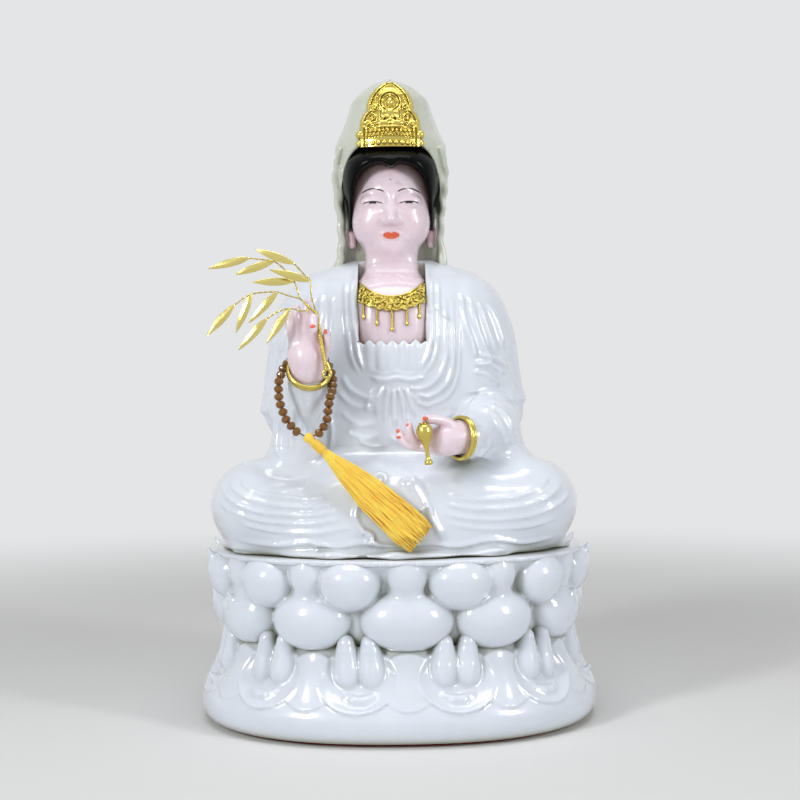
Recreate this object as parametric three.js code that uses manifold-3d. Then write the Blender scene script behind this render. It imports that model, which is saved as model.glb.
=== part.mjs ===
// A seated jade figure on a lotus throne, with gold ornaments, a willow branch, a bead string and a tassel.
// Millimetres, +Z up, the figure faces -Y, and the origin is the middle of the underside.

import * as THREE from 'three';
import { mergeVertices } from 'three/addons/utils/BufferGeometryUtils.js';
import Module from 'manifold-3d';

const wasm = await Module();
wasm.setup();

// Clearances
const fit = 0.3;
const overrun = 4;

// Throne: an oval in plan, with twelve petals in each row
const footThickness = 1.2;
const footInset = 5;
const throneHalfWidth = 90;
const throneHalfDepth = 77;
const thronePower = 2.3;
const petalCount = 12;
const stepsPerPetal = 8;
const padSteps = 48;
const petalTurnShare = 0.09;
const plinthHeight = 14.6;
const plinthBulge = 2.9;
const plinthRoll = 2.6;
const skirtHeight = 24.7;
const leafReach = 3.4;
const backLeafReach = 4.5;
const waistInset = 14;
const lobeReach = 5.4;
const lotusHeight = 37.9;
const lotusCoreInset = 9;
const lowerBulbInset = 1.4;
const upperBulbReach = 0.8;
const rimInset = 4;
const rimHeight = 2.4;

// Figure: the trunk is measured from the seat to the chin
const centreX = -1.5;
const trunkHeight = 133.8;
const lapHeight = 45;
const lapHalfWidth = 78.5;
const lapHalfDepth = 58;
const kneeReach = 84;
const kneeHalfHeight = 21;
const kneeSteps = 18;
const torsoHalfWidth = 62;
const torsoHalfDepth = 39;
const sleeveEndRadius = 7.3;
const elbowRadius = 15;
const sleeveDropRadius = 13;
const foldRadius = 1.9;
const lapelRadius = 2.6;
const chestHalfWidth = 18;
const chestHalfDepth = 24;
const neckRadius = 12;
const headHalfWidth = 19;
const headHalfDepth = 23;
const headHeight = 52;
const earHalfHeight = 10;
const hairThickness = 3.4;
const hoodHalfWidth = 27;
const hoodHalfDepth = 26;
const hoodRise = 3.2;

// Hands and what they wear
const rightHandLength = 36;
const leftHandLength = 33;
const fingerRadius = 2.1;
const wristRadius = 6.9;
const pegRadius = 2.2;
const pegLength = 14;
const dowelRadius = 6;
const dowelLength = 30;
const bangleRadius = 9.1;
const bangleThickness = 1.7;

// Gold ornaments
const crownHeight = 32;
const crownHalfWidth = 16;
const crownThickness = 2.4;
const jewelRadius = 0.9;
const necklaceHalfHeight = 3;
const necklaceThickness = 2;
const pendantRadius = 0.8;
const pendantLength = 10.5;
const vaseHeight = 18.4;
const vaseBulbRadius = 3.6;

// Willow branch
const stemLength = 25;
const stemRadius = 1.05;
const eyeletRadius = 1.75;
const twigRadius = 0.4;
const sprayReach = 50;
const leafLength = 18.5;
const leafWidth = 3.2;
const leafThickness = 0.5;

// Bead string and tassel
const beadCount = 28;
const beadRadius = 2;
const beadBore = 1.2;
const cordDiameter = 0.6;
const beadGap = 0.35;
const knotRadius = 2.4;
const knotLength = 10;
const tasselLength = 66;
const tasselHalfWidth = 8.4;
const tasselHalfThickness = 3.2;
const tasselForward = 5;
const tasselEndRise = 8;

// Places along the height that follow from the sizes above
const throneBottom = footThickness + fit;
const plinthTop = throneBottom + plinthHeight;
const lotusBottom = plinthTop + skirtHeight + fit;
const lotusTop = lotusBottom + lotusHeight;
const seat = lotusTop + fit;

// Colours
const jadeColour = 0xe4e9de;
const skinColour = 0xe6cfd4;
const hairColour = 0x0c0b0c;
const goldColour = 0xd9b64a;
const leafColour = 0xe8d98a;
const amberColour = 0xa8640e;
const yarnColour = 0xf2ae1c;
const feltColour = 0xa01818;
const dowelColour = 0xc9a77a;

const figure = new THREE.Group();

// Solids and how they are cut and joined

function toSolid(geometry) {
  geometry.deleteAttribute('normal');
  geometry.deleteAttribute('uv');
  const merged = mergeVertices(geometry);
  return new wasm.Manifold(new wasm.Mesh({
    numProp: 3,
    vertProperties: merged.attributes.position.array,
    triVerts: Uint32Array.from(merged.index.array),
  }));
}

function toGeometry(solid) {
  const mesh = solid.getMesh();
  const geometry = new THREE.BufferGeometry();
  geometry.setAttribute('position', new THREE.BufferAttribute(mesh.vertProperties, 3));
  geometry.setIndex(new THREE.BufferAttribute(mesh.triVerts, 1));
  geometry.computeVertexNormals();
  return geometry;
}

function joined(solids) {
  return solids.reduce((whole, solid) => whole.add(solid));
}

function largest(solid) {
  return solid.decompose().sort((a, b) => b.volume() - a.volume())[0];
}

function addPiece(name, solid, colour, roughness, metalness = 0) {
  const material = new THREE.MeshStandardMaterial({ color: colour, roughness, metalness });
  const mesh = new THREE.Mesh(toGeometry(solid), material);
  mesh.name = name;
  figure.add(mesh);
}

// A closed skin: a cylinder whose points are moved to where(turn, along, reach). Turn runs once round from
// 0 to 1, along runs from the first row to the last as 0 to 1, and reach is 0 in the middle of an end and 1
// on the skin.
function skin(around, rows, where) {
  const geometry = new THREE.CylinderGeometry(1, 1, 1, around, rows);
  const position = geometry.attributes.position;
  const point = new THREE.Vector3();
  for (let i = 0; i < position.count; i += 1) {
    point.fromBufferAttribute(position, i);
    const reach = Math.round(Math.hypot(point.x, point.z));
    const step = Math.round(Math.atan2(point.x, point.z) / (2 * Math.PI) * around);
    const turn = ((step + around) % around) / around;
    const along = Math.round((point.y + 1 / 2) * rows) / rows;
    position.setXYZ(i, ...where(turn, along, reach).toArray());
  }
  return toSolid(geometry);
}

// A point on a rounded oval of a given power, at a turn that starts in front and goes to the figure's left
function ovalPoint(turn, halfWidth, halfDepth, power) {
  const angle = (turn - 1 / 4) * 2 * Math.PI;
  const rounded = (value) => Math.sign(value) * Math.abs(value) ** (2 / power);
  return [halfWidth * rounded(Math.cos(angle)), halfDepth * rounded(Math.sin(angle))];
}

// A body built from level ovals. Each row is [height, half width, half depth, middle along Y], and
// front(x, z) is where the skin's front lies, on which ornaments are seated.
class OvalStack {
  constructor(middleX, rows, power, around) {
    Object.assign(this, { middleX, rows, power, around });
  }

  solid(grow = 0) {
    const bottom = this.rows[0][0];
    const top = this.rows.at(-1)[0];
    const middle = (bottom + top) / 2;
    const stretch = 1 + 2 * grow / (top - bottom);
    return skin(this.around, this.rows.length - 1, (turn, along, reach) => {
      const [height, halfWidth, halfDepth, middleY] = this.rows[Math.round(along * (this.rows.length - 1))];
      const [x, y] = ovalPoint(turn, halfWidth + grow, halfDepth + grow, this.power);
      const z = middle + (height - middle) * stretch;
      return new THREE.Vector3(this.middleX + x * reach, middleY + y * reach, z);
    });
  }

  front(x, z) {
    const upper = Math.max(1, this.rows.findIndex((row) => row[0] >= z));
    const [low, high] = [this.rows[upper - 1], this.rows[upper]];
    const share = THREE.MathUtils.clamp((z - low[0]) / (high[0] - low[0]), 0, 1);
    const between = (i) => THREE.MathUtils.lerp(low[i], high[i], share);
    const [halfWidth, halfDepth, middleY] = [1, 2, 3].map(between);
    const across = Math.min(1, Math.abs(x - this.middleX) / halfWidth);
    return middleY - halfDepth * (1 - across ** this.power) ** (1 / this.power);
  }
}

// A round or flattened limb through points, with rounded ends. Each radius belongs to one point, and flat is
// the share of it that is kept across the direction upright.
function limb(points, radii, around, rowsPerSpan, flat = 1, upright = null) {
  const curve = new THREE.CatmullRomCurve3(points, false, 'centripetal');
  const spans = points.length - 1;
  const capShares = [0.35, 0.8];
  const rows = spans * rowsPerSpan;
  const frames = curve.computeFrenetFrames(rows);
  const stations = [];
  for (let i = 0; i <= rows; i += 1) {
    const share = i / rows;
    const tangent = curve.getTangent(share);
    const first = Math.min(spans - 1, Math.floor(share * spans));
    const radius = THREE.MathUtils.lerp(radii[first], radii[first + 1], share * spans - first);
    const side = upright ? upright.clone().cross(tangent).normalize() : frames.normals[i].clone();
    const up = tangent.clone().cross(side);
    stations.push({ at: curve.getPoint(share), tangent, side, up, radius });
  }
  const cap = (station, sign) => capShares.map((share) => {
    const height = sign * station.radius * flat * Math.sqrt(1 - share ** 2);
    return {
      ...station,
      at: station.at.clone().addScaledVector(station.tangent, height),
      radius: station.radius * share,
    };
  });
  const all = [...cap(stations[0], -1), ...stations, ...cap(stations.at(-1), 1).reverse()];
  return skin(around, all.length - 1, (turn, along, reach) => {
    const { at, side, up, radius } = all[Math.round(along * (all.length - 1))];
    const angle = turn * 2 * Math.PI;
    return at.clone()
      .addScaledVector(side, reach * radius * Math.cos(angle) * flat)
      .addScaledVector(up, reach * radius * Math.sin(angle));
  });
}

function ball(centre, halfX, halfY, halfZ, around = 12, rows = 8) {
  const geometry = new THREE.SphereGeometry(1, around, rows);
  geometry.scale(halfX, halfY, halfZ);
  geometry.translate(centre.x, centre.y, centre.z);
  return toSolid(geometry);
}

function rod(from, to, radius, around = 16) {
  const geometry = new THREE.CylinderGeometry(radius, radius, from.distanceTo(to), around);
  const direction = to.clone().sub(from).normalize();
  geometry.applyQuaternion(new THREE.Quaternion().setFromUnitVectors(new THREE.Vector3(0, 1, 0), direction));
  const middle = from.clone().lerp(to, 1 / 2);
  geometry.translate(middle.x, middle.y, middle.z);
  return toSolid(geometry);
}

function ring(centre, normal, radius, thickness, around = 32, sides = 6) {
  const geometry = new THREE.TorusGeometry(radius, thickness / 2, sides, around);
  geometry.applyQuaternion(new THREE.Quaternion().setFromUnitVectors(new THREE.Vector3(0, 0, 1), normal));
  geometry.translate(centre.x, centre.y, centre.z);
  return toSolid(geometry);
}

// An upright arch-topped opening, cut from the front back to a depth
function archCut(middleX, bottom, halfWidth, springing, rise, backY) {
  const shape = new THREE.Shape();
  shape.moveTo(middleX - halfWidth, bottom);
  shape.lineTo(middleX + halfWidth, bottom);
  shape.lineTo(middleX + halfWidth, springing);
  shape.absellipse(middleX, springing, halfWidth, rise, 0, Math.PI, false);
  const depth = throneHalfDepth + overrun;
  const geometry = new THREE.ExtrudeGeometry(shape, { depth, bevelEnabled: false, curveSegments: 8 });
  geometry.rotateX(Math.PI / 2);
  geometry.translate(0, backY, 0);
  return toSolid(geometry);
}

// A place on the trunk, as shares of the torso's half width, the lap's half depth and the trunk's height
function onTrunk([x, y, z]) {
  return new THREE.Vector3(x * torsoHalfWidth, y * lapHalfDepth, seat + z * trunkHeight);
}

function reachFrom(origin, length, [x, y, z]) {
  return new THREE.Vector3(origin.x + x * length, origin.y + y * length, origin.z + z * length);
}

// Rows of a stack from shares: [height share, width share, depth share, middle share of the depth]
function stackRows(bottom, height, halfWidth, halfDepth, shares) {
  return shares.map(([z, w, d, m]) => [bottom + z * height, w * halfWidth, d * halfDepth, m * halfDepth]);
}

// Throne

class Oval extends THREE.Curve {
  getPoint(t, target = new THREE.Vector3()) {
    return target.set(...ovalPoint(t, throneHalfWidth, throneHalfDepth, thronePower), 0);
  }
}

const plan = new Oval();
plan.arcLengthDivisions = 720;

// A throne tier: offset(turn, height) is how far its skin stands outside the plan oval
function tier(heights, around, offset) {
  const edge = [];
  for (let i = 0; i < around; i += 1) {
    const tangent = plan.getTangentAt(i / around);
    edge.push({ at: plan.getPointAt(i / around), out: new THREE.Vector3(tangent.y, -tangent.x, 0) });
  }
  return skin(around, heights.length - 1, (turn, along, reach) => {
    const { at, out } = edge[Math.round(turn * around)];
    const height = heights[Math.round(along * (heights.length - 1))];
    return at.clone().addScaledVector(out, offset(turn, height)).multiplyScalar(reach).setZ(height);
  });
}

// How far round from the middle of the nearest petal of a row, from -0.5 to 0.5 of a petal
function petalPlace(turn, rowShift) {
  const place = turn * petalCount - petalTurnShare - rowShift;
  return place - Math.round(place);
}

function dome(...places) {
  return Math.sqrt(Math.max(0, 1 - places.reduce((sum, place) => sum + place ** 2, 0)));
}

function levels(bottom, top, count) {
  return Array.from({ length: count + 1 }, (_, i) => THREE.MathUtils.lerp(bottom, top, i / count));
}

function footPad() {
  return tier([0, footThickness], padSteps, () => -footInset);
}

function throneBase() {
  const skirtFoot = plinthTop + fit;
  const skirtTop = plinthTop + skirtHeight;
  const plinthShares = [0, 0.07, 0.2, 0.5, 0.8, 0.93];
  const plinthHeights = plinthShares.map((share) => throneBottom + share * plinthHeight);
  const heights = [...plinthHeights, plinthTop, ...levels(skirtFoot, skirtTop, 7)];
  return tier(heights, petalCount * stepsPerPetal, (turn, height) => {
    if (height <= plinthTop) {
      const along = (height - throneBottom) / plinthHeight;
      const roll = dome(Math.abs(2 * along - 1) ** 1.3);
      return plinthBulge * roll - plinthRoll * (1 - roll);
    }
    const rise = (height - skirtFoot) / skirtHeight;
    const across = petalPlace(turn, 1 / 2);
    const wall = -waistInset * Math.max(0, rise) ** 0.7;
    const spread = Math.hypot(across / 0.42, rise - 1);
    const leaf = spread < 1 ? leafReach * THREE.MathUtils.lerp(0.3, 1, spread ** 4) : 0;
    const backLeaf = backLeafReach * dome(petalPlace(turn, 0) / 0.32, rise - 1);
    const lobe = lobeReach * dome((Math.abs(across) - 0.14) / 0.16, (rise - 0.64) / 0.45);
    return wall + Math.max(leaf, backLeaf, lobe);
  });
}

function throneLotus() {
  const heights = [...levels(lotusBottom, lotusTop - rimHeight, 9), lotusTop];
  return tier(heights, petalCount * stepsPerPetal, (turn, height) => {
    const rise = (height - lotusBottom) / lotusHeight;
    const lower = petalPlace(turn, 0);
    const upper = petalPlace(turn, 1 / 2);
    const depth = lotusCoreInset;
    const big = (depth - lowerBulbInset) * dome(lower / 0.52, (rise - 0.31) / 0.36) - depth;
    const small = (depth + upperBulbReach) * dome(upper / 0.38, (rise - 0.74) / 0.32) - depth;
    const neck = (depth - rimInset) * dome(lower / 0.26, (rise - 0.78) / 0.25) - depth;
    const rim = rise > 1 - (rimHeight + fit) / lotusHeight ? -rimInset : -depth;
    return Math.max(big, small, neck, rim);
  });
}

// Figure

const lapShares = [
  [0, 0.93, 0.96, -0.1], [0.08, 1, 0.99, -0.1], [0.3, 1.04, 1, -0.1], [0.55, 1.02, 0.97, -0.08],
  [0.75, 0.95, 0.9, -0.05], [0.88, 0.84, 0.8, -0.02], [1, 0.72, 0.72, 0.02],
];
const lap = new OvalStack(
  centreX, stackRows(seat, lapHeight, lapHalfWidth, lapHalfDepth, lapShares), 2.5, 36);

const torsoFootShare = 0.585;
const torsoFoot = seat + torsoFootShare * lapHeight;
const torsoShares = [
  [0, 0.95, 1.12, 0.04], [0.16, 0.95, 1.1, 0.04], [0.25, 0.935, 1.02, 0.04], [0.33, 0.93, 1.01, 0.03],
  [0.37, 0.99, 1, 0.03], [0.43, 0.97, 1, 0.03], [0.51, 0.95, 1, 0.02], [0.66, 0.93, 0.98, 0.02],
  [0.8, 0.865, 0.92, 0.05],
  [0.88, 0.78, 0.83, 0.08], [0.93, 0.67, 0.7, 0.12], [0.97, 0.54, 0.58, 0.15], [1, 0.37, 0.42, 0.17],
];
const chin = seat + trunkHeight;
const torso = new OvalStack(
  centreX, stackRows(torsoFoot, chin - torsoFoot, torsoHalfWidth, torsoHalfDepth, torsoShares), 2.4, 32);

const chestFootShare = 0.648;
const chestHeightShare = 0.394;
const chestFoot = seat + chestFootShare * trunkHeight;
const chestHeight = chestHeightShare * trunkHeight;
const neckShare = neckRadius / chestHalfWidth;
const neckDepthShare = neckRadius / chestHalfDepth;
const chestShares = [
  [0, 0.95, 0.94, -0.63], [0.25, 1, 0.98, -0.62], [0.45, 1, 0.95, -0.6], [0.6, 0.93, 0.86, -0.52],
  [0.7, 0.78, 0.7, -0.42], [0.77, neckShare * 1.08, neckDepthShare * 1.1, -0.33],
  [1, neckShare, neckDepthShare, -0.3],
];
const chest = new OvalStack(
  centreX, stackRows(chestFoot, chestHeight, chestHalfWidth, chestHalfDepth, chestShares), 2.3, 20);

const headShares = [
  [0, 0.26, 0.3, -0.32], [0.05, 0.46, 0.56, -0.26], [0.15, 0.69, 0.78, -0.18], [0.3, 0.88, 0.92, -0.14],
  [0.45, 0.97, 0.98, -0.13], [0.6, 1, 1, -0.13], [0.75, 0.94, 0.95, -0.13], [0.88, 0.73, 0.75, -0.13],
  [0.96, 0.46, 0.48, -0.13], [1, 0.2, 0.2, -0.13],
];
const head = new OvalStack(
  centreX, stackRows(chin, headHeight, headHalfWidth, headHalfDepth, headShares), 2.1, 20);

const hairShares = [
  [0.24, 0.88, 0.76, -0.02], [0.42, 0.94, 0.92, -0.06], [0.6, 0.99, 1, -0.09], [0.74, 1, 1, -0.12],
  [0.9, 0.86, 0.86, -0.12], [1, 0.64, 0.64, -0.12], [1.07, 0.36, 0.36, -0.12],
];
const hair = new OvalStack(
  centreX,
  stackRows(chin, headHeight, headHalfWidth + hairThickness, headHalfDepth + hairThickness, hairShares),
  2.1, 20);

const crownFootShare = 0.981;
const crownFoot = chin + crownFootShare * headHeight;
const hoodDropShare = 0.246;
const hoodFoot = chin - hoodDropShare * headHeight;
const hoodHeight = crownFoot + crownHeight + hoodRise - hoodFoot;
const hoodShares = [
  [0, 1, 0.95, 0.34], [0.13, 0.96, 0.85, 0.3], [0.21, 0.92, 0.82, 0.27], [0.32, 0.88, 0.83, 0.22],
  [0.44, 0.96, 0.93, 0.18], [0.52, 1, 1, 0.14], [0.6, 0.97, 1.02, 0.12], [0.68, 0.97, 1, 0.11],
  [0.76, 0.84, 0.9, 0.11], [0.83, 0.75, 0.84, 0.11], [0.895, 0.685, 0.79, 0.11], [0.927, 0.585, 0.74, 0.12],
  [0.955, 0.467, 0.66, 0.13], [0.985, 0.29, 0.43, 0.15], [1, 0.11, 0.15, 0.15],
];
const hood = new OvalStack(
  centreX, stackRows(hoodFoot, hoodHeight, hoodHalfWidth, hoodHalfDepth, hoodShares), 2.2, 28);

const rightWristShares = [-0.614, -0.963, 0.6];
const rightElbowShares = [-0.766, -0.114, 0.477];
const rightSleeveTipShares = [-0.617, -0.853, 0.395];
const rightSleeveDropShares = [[-0.694, -0.586, 0.513], [-0.742, -0.586, 0.274]];
const leftWristShares = [0.458, -0.948, 0.383];
const leftElbowShares = [0.727, -0.114, 0.477];
const leftSleeveDropShares = [[0.677, -0.517, 0.394], [0.758, -0.569, 0.259]];
const rightWrist = onTrunk(rightWristShares);
const leftWrist = onTrunk(leftWristShares);

function earPairs(grow) {
  const earShare = 0.35;
  return [-1, 1].map((side) => {
    const centre = new THREE.Vector3(centreX + side * headHalfWidth, 0, chin + earShare * headHeight);
    return ball(centre, hairThickness * 0.6 + grow, earHalfHeight * 0.4 + grow, earHalfHeight + grow, 8, 6);
  });
}

function bust(grow = 0) {
  return joined([chest.solid(grow), head.solid(grow), ...earPairs(grow)]);
}

function faceCut(halfWidth, bottom, topShare, riseShare, backY) {
  const rise = riseShare * headHeight;
  return archCut(centreX, bottom, halfWidth, chin + topShare * headHeight - rise, rise, backY);
}

function hairCap() {
  const opening = faceCut(headHalfWidth * 0.84, chin - overrun, 0.8, 0.25, -headHalfDepth * 0.35);
  return largest(hair.solid().subtract(bust(fit)).subtract(opening));
}

// Hands: each limb runs through places that are shares of the hand's length from the wrist
const rightHandShares = {
  wrist: { run: [[0, 0.2, -0.17], [0, 0.03, -0.01], [-0.01, -0.07, 0.17]], thick: 3.3 },
  little: { run: [[-0.17, -0.1, 0.34], [-0.22, -0.125, 0.56], [-0.22, -0.11, 0.71]], thick: 0.85 },
  ring: { run: [[-0.1, -0.11, 0.37], [-0.13, -0.15, 0.61], [-0.13, -0.14, 0.79]], thick: 0.95 },
  middle: { run: [[-0.02, -0.11, 0.38], [-0.01, -0.16, 0.67], [0, -0.145, 0.87]], thick: 1 },
  index: {
    run: [[0.07, -0.12, 0.38], [0.07, -0.18, 0.63], [0.075, -0.27, 0.66], [0.085, -0.315, 0.52]],
    thick: 0.95,
  },
  thumb: { run: [[0.13, -0.09, 0.12], [0.215, -0.15, 0.29], [0.235, -0.21, 0.47]], thick: 1.1 },
};
const rightPalmShares = [-0.02, -0.08, 0.24];
const rightPalmSizeShares = [0.23, 0.12, 0.27];
const leftHandShares = {
  wrist: { run: [[0.17, 0.22, 0.04], [0, 0.03, 0.015], [-0.2, -0.075, -0.015]], thick: 3 },
  thumb: { run: [[-0.075, -0.09, 0.13], [-0.26, -0.18, 0.24], [-0.47, -0.29, 0.265]], thick: 1.1 },
  index: { run: [[-0.45, -0.18, -0.02], [-0.53, -0.21, 0.1], [-0.53, -0.22, 0.2]], thick: 0.9 },
  middle: { run: [[-0.6, -0.19, -0.08], [-0.675, -0.24, 0.06], [-0.7, -0.225, 0.2]], thick: 0.85 },
  ring: { run: [[-0.54, -0.15, -0.1], [-0.74, -0.21, -0.03], [-0.84, -0.2, 0.11]], thick: 0.85 },
  little: { run: [[-0.48, -0.16, -0.12], [-0.71, -0.26, -0.08], [-0.83, -0.26, 0.03]], thick: 0.8 },
};
const leftPalmShares = [-0.3, -0.1, -0.045];
const leftPalmSizeShares = [0.27, 0.13, 0.165];

function hand(wrist, length, limbShares, palmShares, palmSizeShares) {
  const limbs = Object.entries(limbShares).map(([part, { run, thick }]) => {
    const base = part === 'wrist' ? wristRadius / fingerRadius / thick : 1;
    const taper = part === 'wrist' ? 1 : 0.8;
    const radius = fingerRadius * thick * base;
    const radii = run.map((_, i) => radius * THREE.MathUtils.lerp(1, taper, i / (run.length - 1)));
    return limb(run.map((shares) => reachFrom(wrist, length, shares)), radii, part === 'wrist' ? 12 : 7, 1);
  });
  const [halfX, halfY, halfZ] = palmSizeShares.map((share) => share * length);
  return joined([ball(reachFrom(wrist, length, palmShares), halfX, halfY, halfZ), ...limbs]);
}

// The room that a wrist takes in its sleeve
function wristRoom(wrist, length, run) {
  const room = run.map((shares) => reachFrom(wrist, length, shares));
  return limb(room, room.map(() => wristRadius + fit), 12, 1);
}

// A peg runs from inside the wrist into the sleeve, along the line to the elbow
function pegLine(wrist, length, wristRun, elbowShares) {
  const root = reachFrom(wrist, length, wristRun[0]);
  const inward = onTrunk(elbowShares).sub(root).normalize();
  const start = root.clone().addScaledVector(inward, -pegLength / 2);
  return [start, root.clone().addScaledVector(inward, pegLength / 2), inward];
}

const [rightPegStart, rightPegEnd, rightInward] = pegLine(
  rightWrist, rightHandLength, rightHandShares.wrist.run, rightElbowShares);
const [leftPegStart, leftPegEnd, leftInward] = pegLine(
  leftWrist, leftHandLength, leftHandShares.wrist.run, leftElbowShares);

function pegHole(start, end, inward) {
  const room = inward.clone().multiplyScalar(fit);
  return rod(start.clone().sub(room), end.clone().add(room), pegRadius + fit);
}

// Bangles lie round the wrists, tipped forward on the right arm and sideways on the left
const rightBangleNormal = new THREE.Vector3(0.135, -0.769, 0.601).normalize();
const leftBangleNormal = new THREE.Vector3(-0.82, -0.57, 0.05).normalize();
const rightBangleShares = [0, -0.01, 0.02];
const leftBangleShares = [0, 0, 0];
const rightBangleCentre = reachFrom(rightWrist, rightHandLength, rightBangleShares);
const leftBangleCentre = reachFrom(leftWrist, leftHandLength, leftBangleShares);

function bangle(centre, normal, grow = 0) {
  return ring(centre, normal, bangleRadius, bangleThickness + 2 * grow);
}

function bothBangles(grow) {
  return bangle(rightBangleCentre, rightBangleNormal, grow)
    .add(bangle(leftBangleCentre, leftBangleNormal, grow));
}

const dowelMiddle = new THREE.Vector3(centreX, 0, seat);

function dowel(grow = 0) {
  const half = new THREE.Vector3(0, 0, dowelLength / 2 + grow);
  return rod(dowelMiddle.clone().sub(half), dowelMiddle.clone().add(half), dowelRadius + grow, 20);
}

function knees() {
  const [asideShare, forwardShare, upShare] = [0.7, 0.474, 0.47];
  const aside = asideShare * kneeReach;
  return [-1, 1].map((side) => {
    const centre = new THREE.Vector3(
      centreX + side * aside, -forwardShare * lapHalfDepth, seat + upShare * lapHeight);
    return ball(centre, kneeReach - aside, lapHalfDepth * 0.56, kneeHalfHeight, kneeSteps, kneeSteps / 2);
  });
}

// A rolled edge or fold that lies on the torso's front, from shares of the chest's half width and the trunk
function fold(side, shares, radius, around, rowsPerSpan) {
  const run = shares.map(([across, up]) => {
    const x = centreX + side * across * chestHalfWidth;
    const z = seat + up * trunkHeight;
    return new THREE.Vector3(x, torso.front(x, z) - radius / 2, z);
  });
  return limb(run, run.map(() => radius), around, rowsPerSpan);
}

function folds() {
  const lapelShares = [[0.81, 0.962], [1.1, 0.888], [1.2, 0.773], [1.15, 0.658], [0.73, 0.551]];
  const pleatShares = [[1.8, 0.87], [2.05, 0.76], [2.3, 0.64]];
  const scarfShares = [[1.55, 0.82], [1.58, 0.62], [1.3, 0.54], [0.6, 0.5]];
  const tieShares = [[0.05, 0.555], [-0.1, 0.5], [-0.05, 0.45]];
  const bellyShares = [[1.1, 0.45], [0.55, 0.4], [-0.2, 0.39]];
  return [
    ...[-1, 1].map((side) => fold(side, lapelShares, lapelRadius, 8, 2)),
    ...[-1, 1].map((side) => fold(side, pleatShares, foldRadius, 6, 1)),
    fold(1, scarfShares, foldRadius, 6, 2), fold(1, tieShares, foldRadius, 6, 1),
    fold(-1, bellyShares, foldRadius, 6, 1),
  ];
}

function sleeves() {
  const rightEnd = reachFrom(rightWrist, rightHandLength, rightHandShares.wrist.run[0]);
  const leftEnd = reachFrom(leftWrist, leftHandLength, leftHandShares.wrist.run[0]);
  const tip = onTrunk(rightSleeveTipShares);
  return [
    limb([onTrunk(rightElbowShares), rightEnd], [elbowRadius, sleeveEndRadius], 16, 3),
    limb([onTrunk(leftElbowShares), leftEnd], [elbowRadius, sleeveEndRadius], 16, 3),
    limb([rightEnd, tip], [sleeveEndRadius * 0.9, sleeveEndRadius * 0.4], 12, 3),
    limb(rightSleeveDropShares.map(onTrunk), [sleeveDropRadius * 0.8, sleeveDropRadius], 12, 1),
    limb(leftSleeveDropShares.map(onTrunk), [sleeveDropRadius, sleeveDropRadius], 12, 1),
  ];
}

function robedBody() {
  const opening = archCut(centreX, chestFoot + fit, chestHalfWidth * 0.97, chin + overrun, overrun,
    -chestHalfDepth / 3);
  const openTorso = torso.solid().subtract(opening);
  const whole = joined([lap.solid(), openTorso, ...knees(), ...folds(), ...sleeves()]);
  const below = rod(new THREE.Vector3(0, 0, 0), new THREE.Vector3(0, 0, seat), throneHalfWidth * 2, 24);
  const cuts = joined([
    bust(fit), bothBangles(fit), dowel(fit), below,
    wristRoom(rightWrist, rightHandLength, rightHandShares.wrist.run),
    wristRoom(leftWrist, leftHandLength, leftHandShares.wrist.run),
    pegHole(rightPegStart, rightPegEnd, rightInward), pegHole(leftPegStart, leftPegEnd, leftInward),
  ]);
  return largest(whole.subtract(cuts));
}

// The crown is a curved plate, seated in the hood's front
const crownShares = [
  [0, 0.96], [0.12, 1.03], [0.24, 0.95], [0.45, 0.84], [0.65, 0.7], [0.8, 0.48], [0.93, 0.22], [1, 0.1],
];

function crown(grow = 0) {
  const lastRow = crownShares.length - 1;
  const seatedShare = 0.9;
  const stretch = 1 + 2 * grow / crownHeight;
  return skin(20, lastRow, (turn, along, reach) => {
    const [heightShare, widthShare] = crownShares[Math.round(along * lastRow)];
    const [x, y] = ovalPoint(turn, widthShare * crownHalfWidth + grow, crownThickness / 2 + grow, 4);
    const height = crownFoot + (1 / 2 + (heightShare - 1 / 2) * stretch) * crownHeight;
    const seatY = hood.front(centreX, crownFoot + Math.min(heightShare, seatedShare) * crownHeight);
    const bend = (x * reach) ** 2 / (2 * hoodHalfDepth);
    return new THREE.Vector3(centreX + x * reach, seatY + y * reach + bend, height);
  });
}

function hoodShell() {
  const opening = faceCut(
    headHalfWidth + hairThickness * 0.9, hoodFoot - overrun, 1.02, 0.3, -headHalfDepth * 0.3);
  const inside = joined([bust(fit), hair.solid(fit), torso.solid(fit), crown(fit), opening]);
  return largest(hood.solid().subtract(inside));
}

// The necklace hangs in a curve from its two ends, and its pendants hang from the middle of the band
function necklace() {
  const endShare = 0.8;
  const topShare = 0.61;
  const dropShare = 0.137;
  const runShares = [-endShare, -0.5, 0, 0.5, endShare];
  const pendantShares = [-0.74, -0.38, 0, 0.38, 0.72];
  const bandShare = (share) => topShare - dropShare * (1 - (share / endShare) ** 2);
  const bandHeight = (share) => chestFoot + bandShare(share) * chestHeight;
  const seated = (x, z, half) => new THREE.Vector3(x, chest.front(x, z) - fit - half, z);
  const points = runShares.map((share) => seated(
    centreX + share * chestHalfWidth, bandHeight(share), necklaceThickness / 2));
  const radii = runShares.map((share) => necklaceHalfHeight * (1 + Math.abs(share) / 3));
  const flat = necklaceThickness / 2 / necklaceHalfHeight;
  const band = limb(points, radii, 6, 2, flat, new THREE.Vector3(0, 0, 1));
  const pendants = pendantShares.map((share) => {
    const x = centreX + share * chestHalfWidth;
    const top = bandHeight(share);
    const bottom = top - necklaceHalfHeight - pendantLength * (1 - Math.abs(share) / 3);
    const ends = [seated(x, top, pendantRadius), seated(x, bottom, pendantRadius * 1.5)];
    return limb(ends, [pendantRadius, pendantRadius * 1.5], 5, 1);
  });
  return joined([band, ...pendants]).subtract(bust(fit));
}

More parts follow.
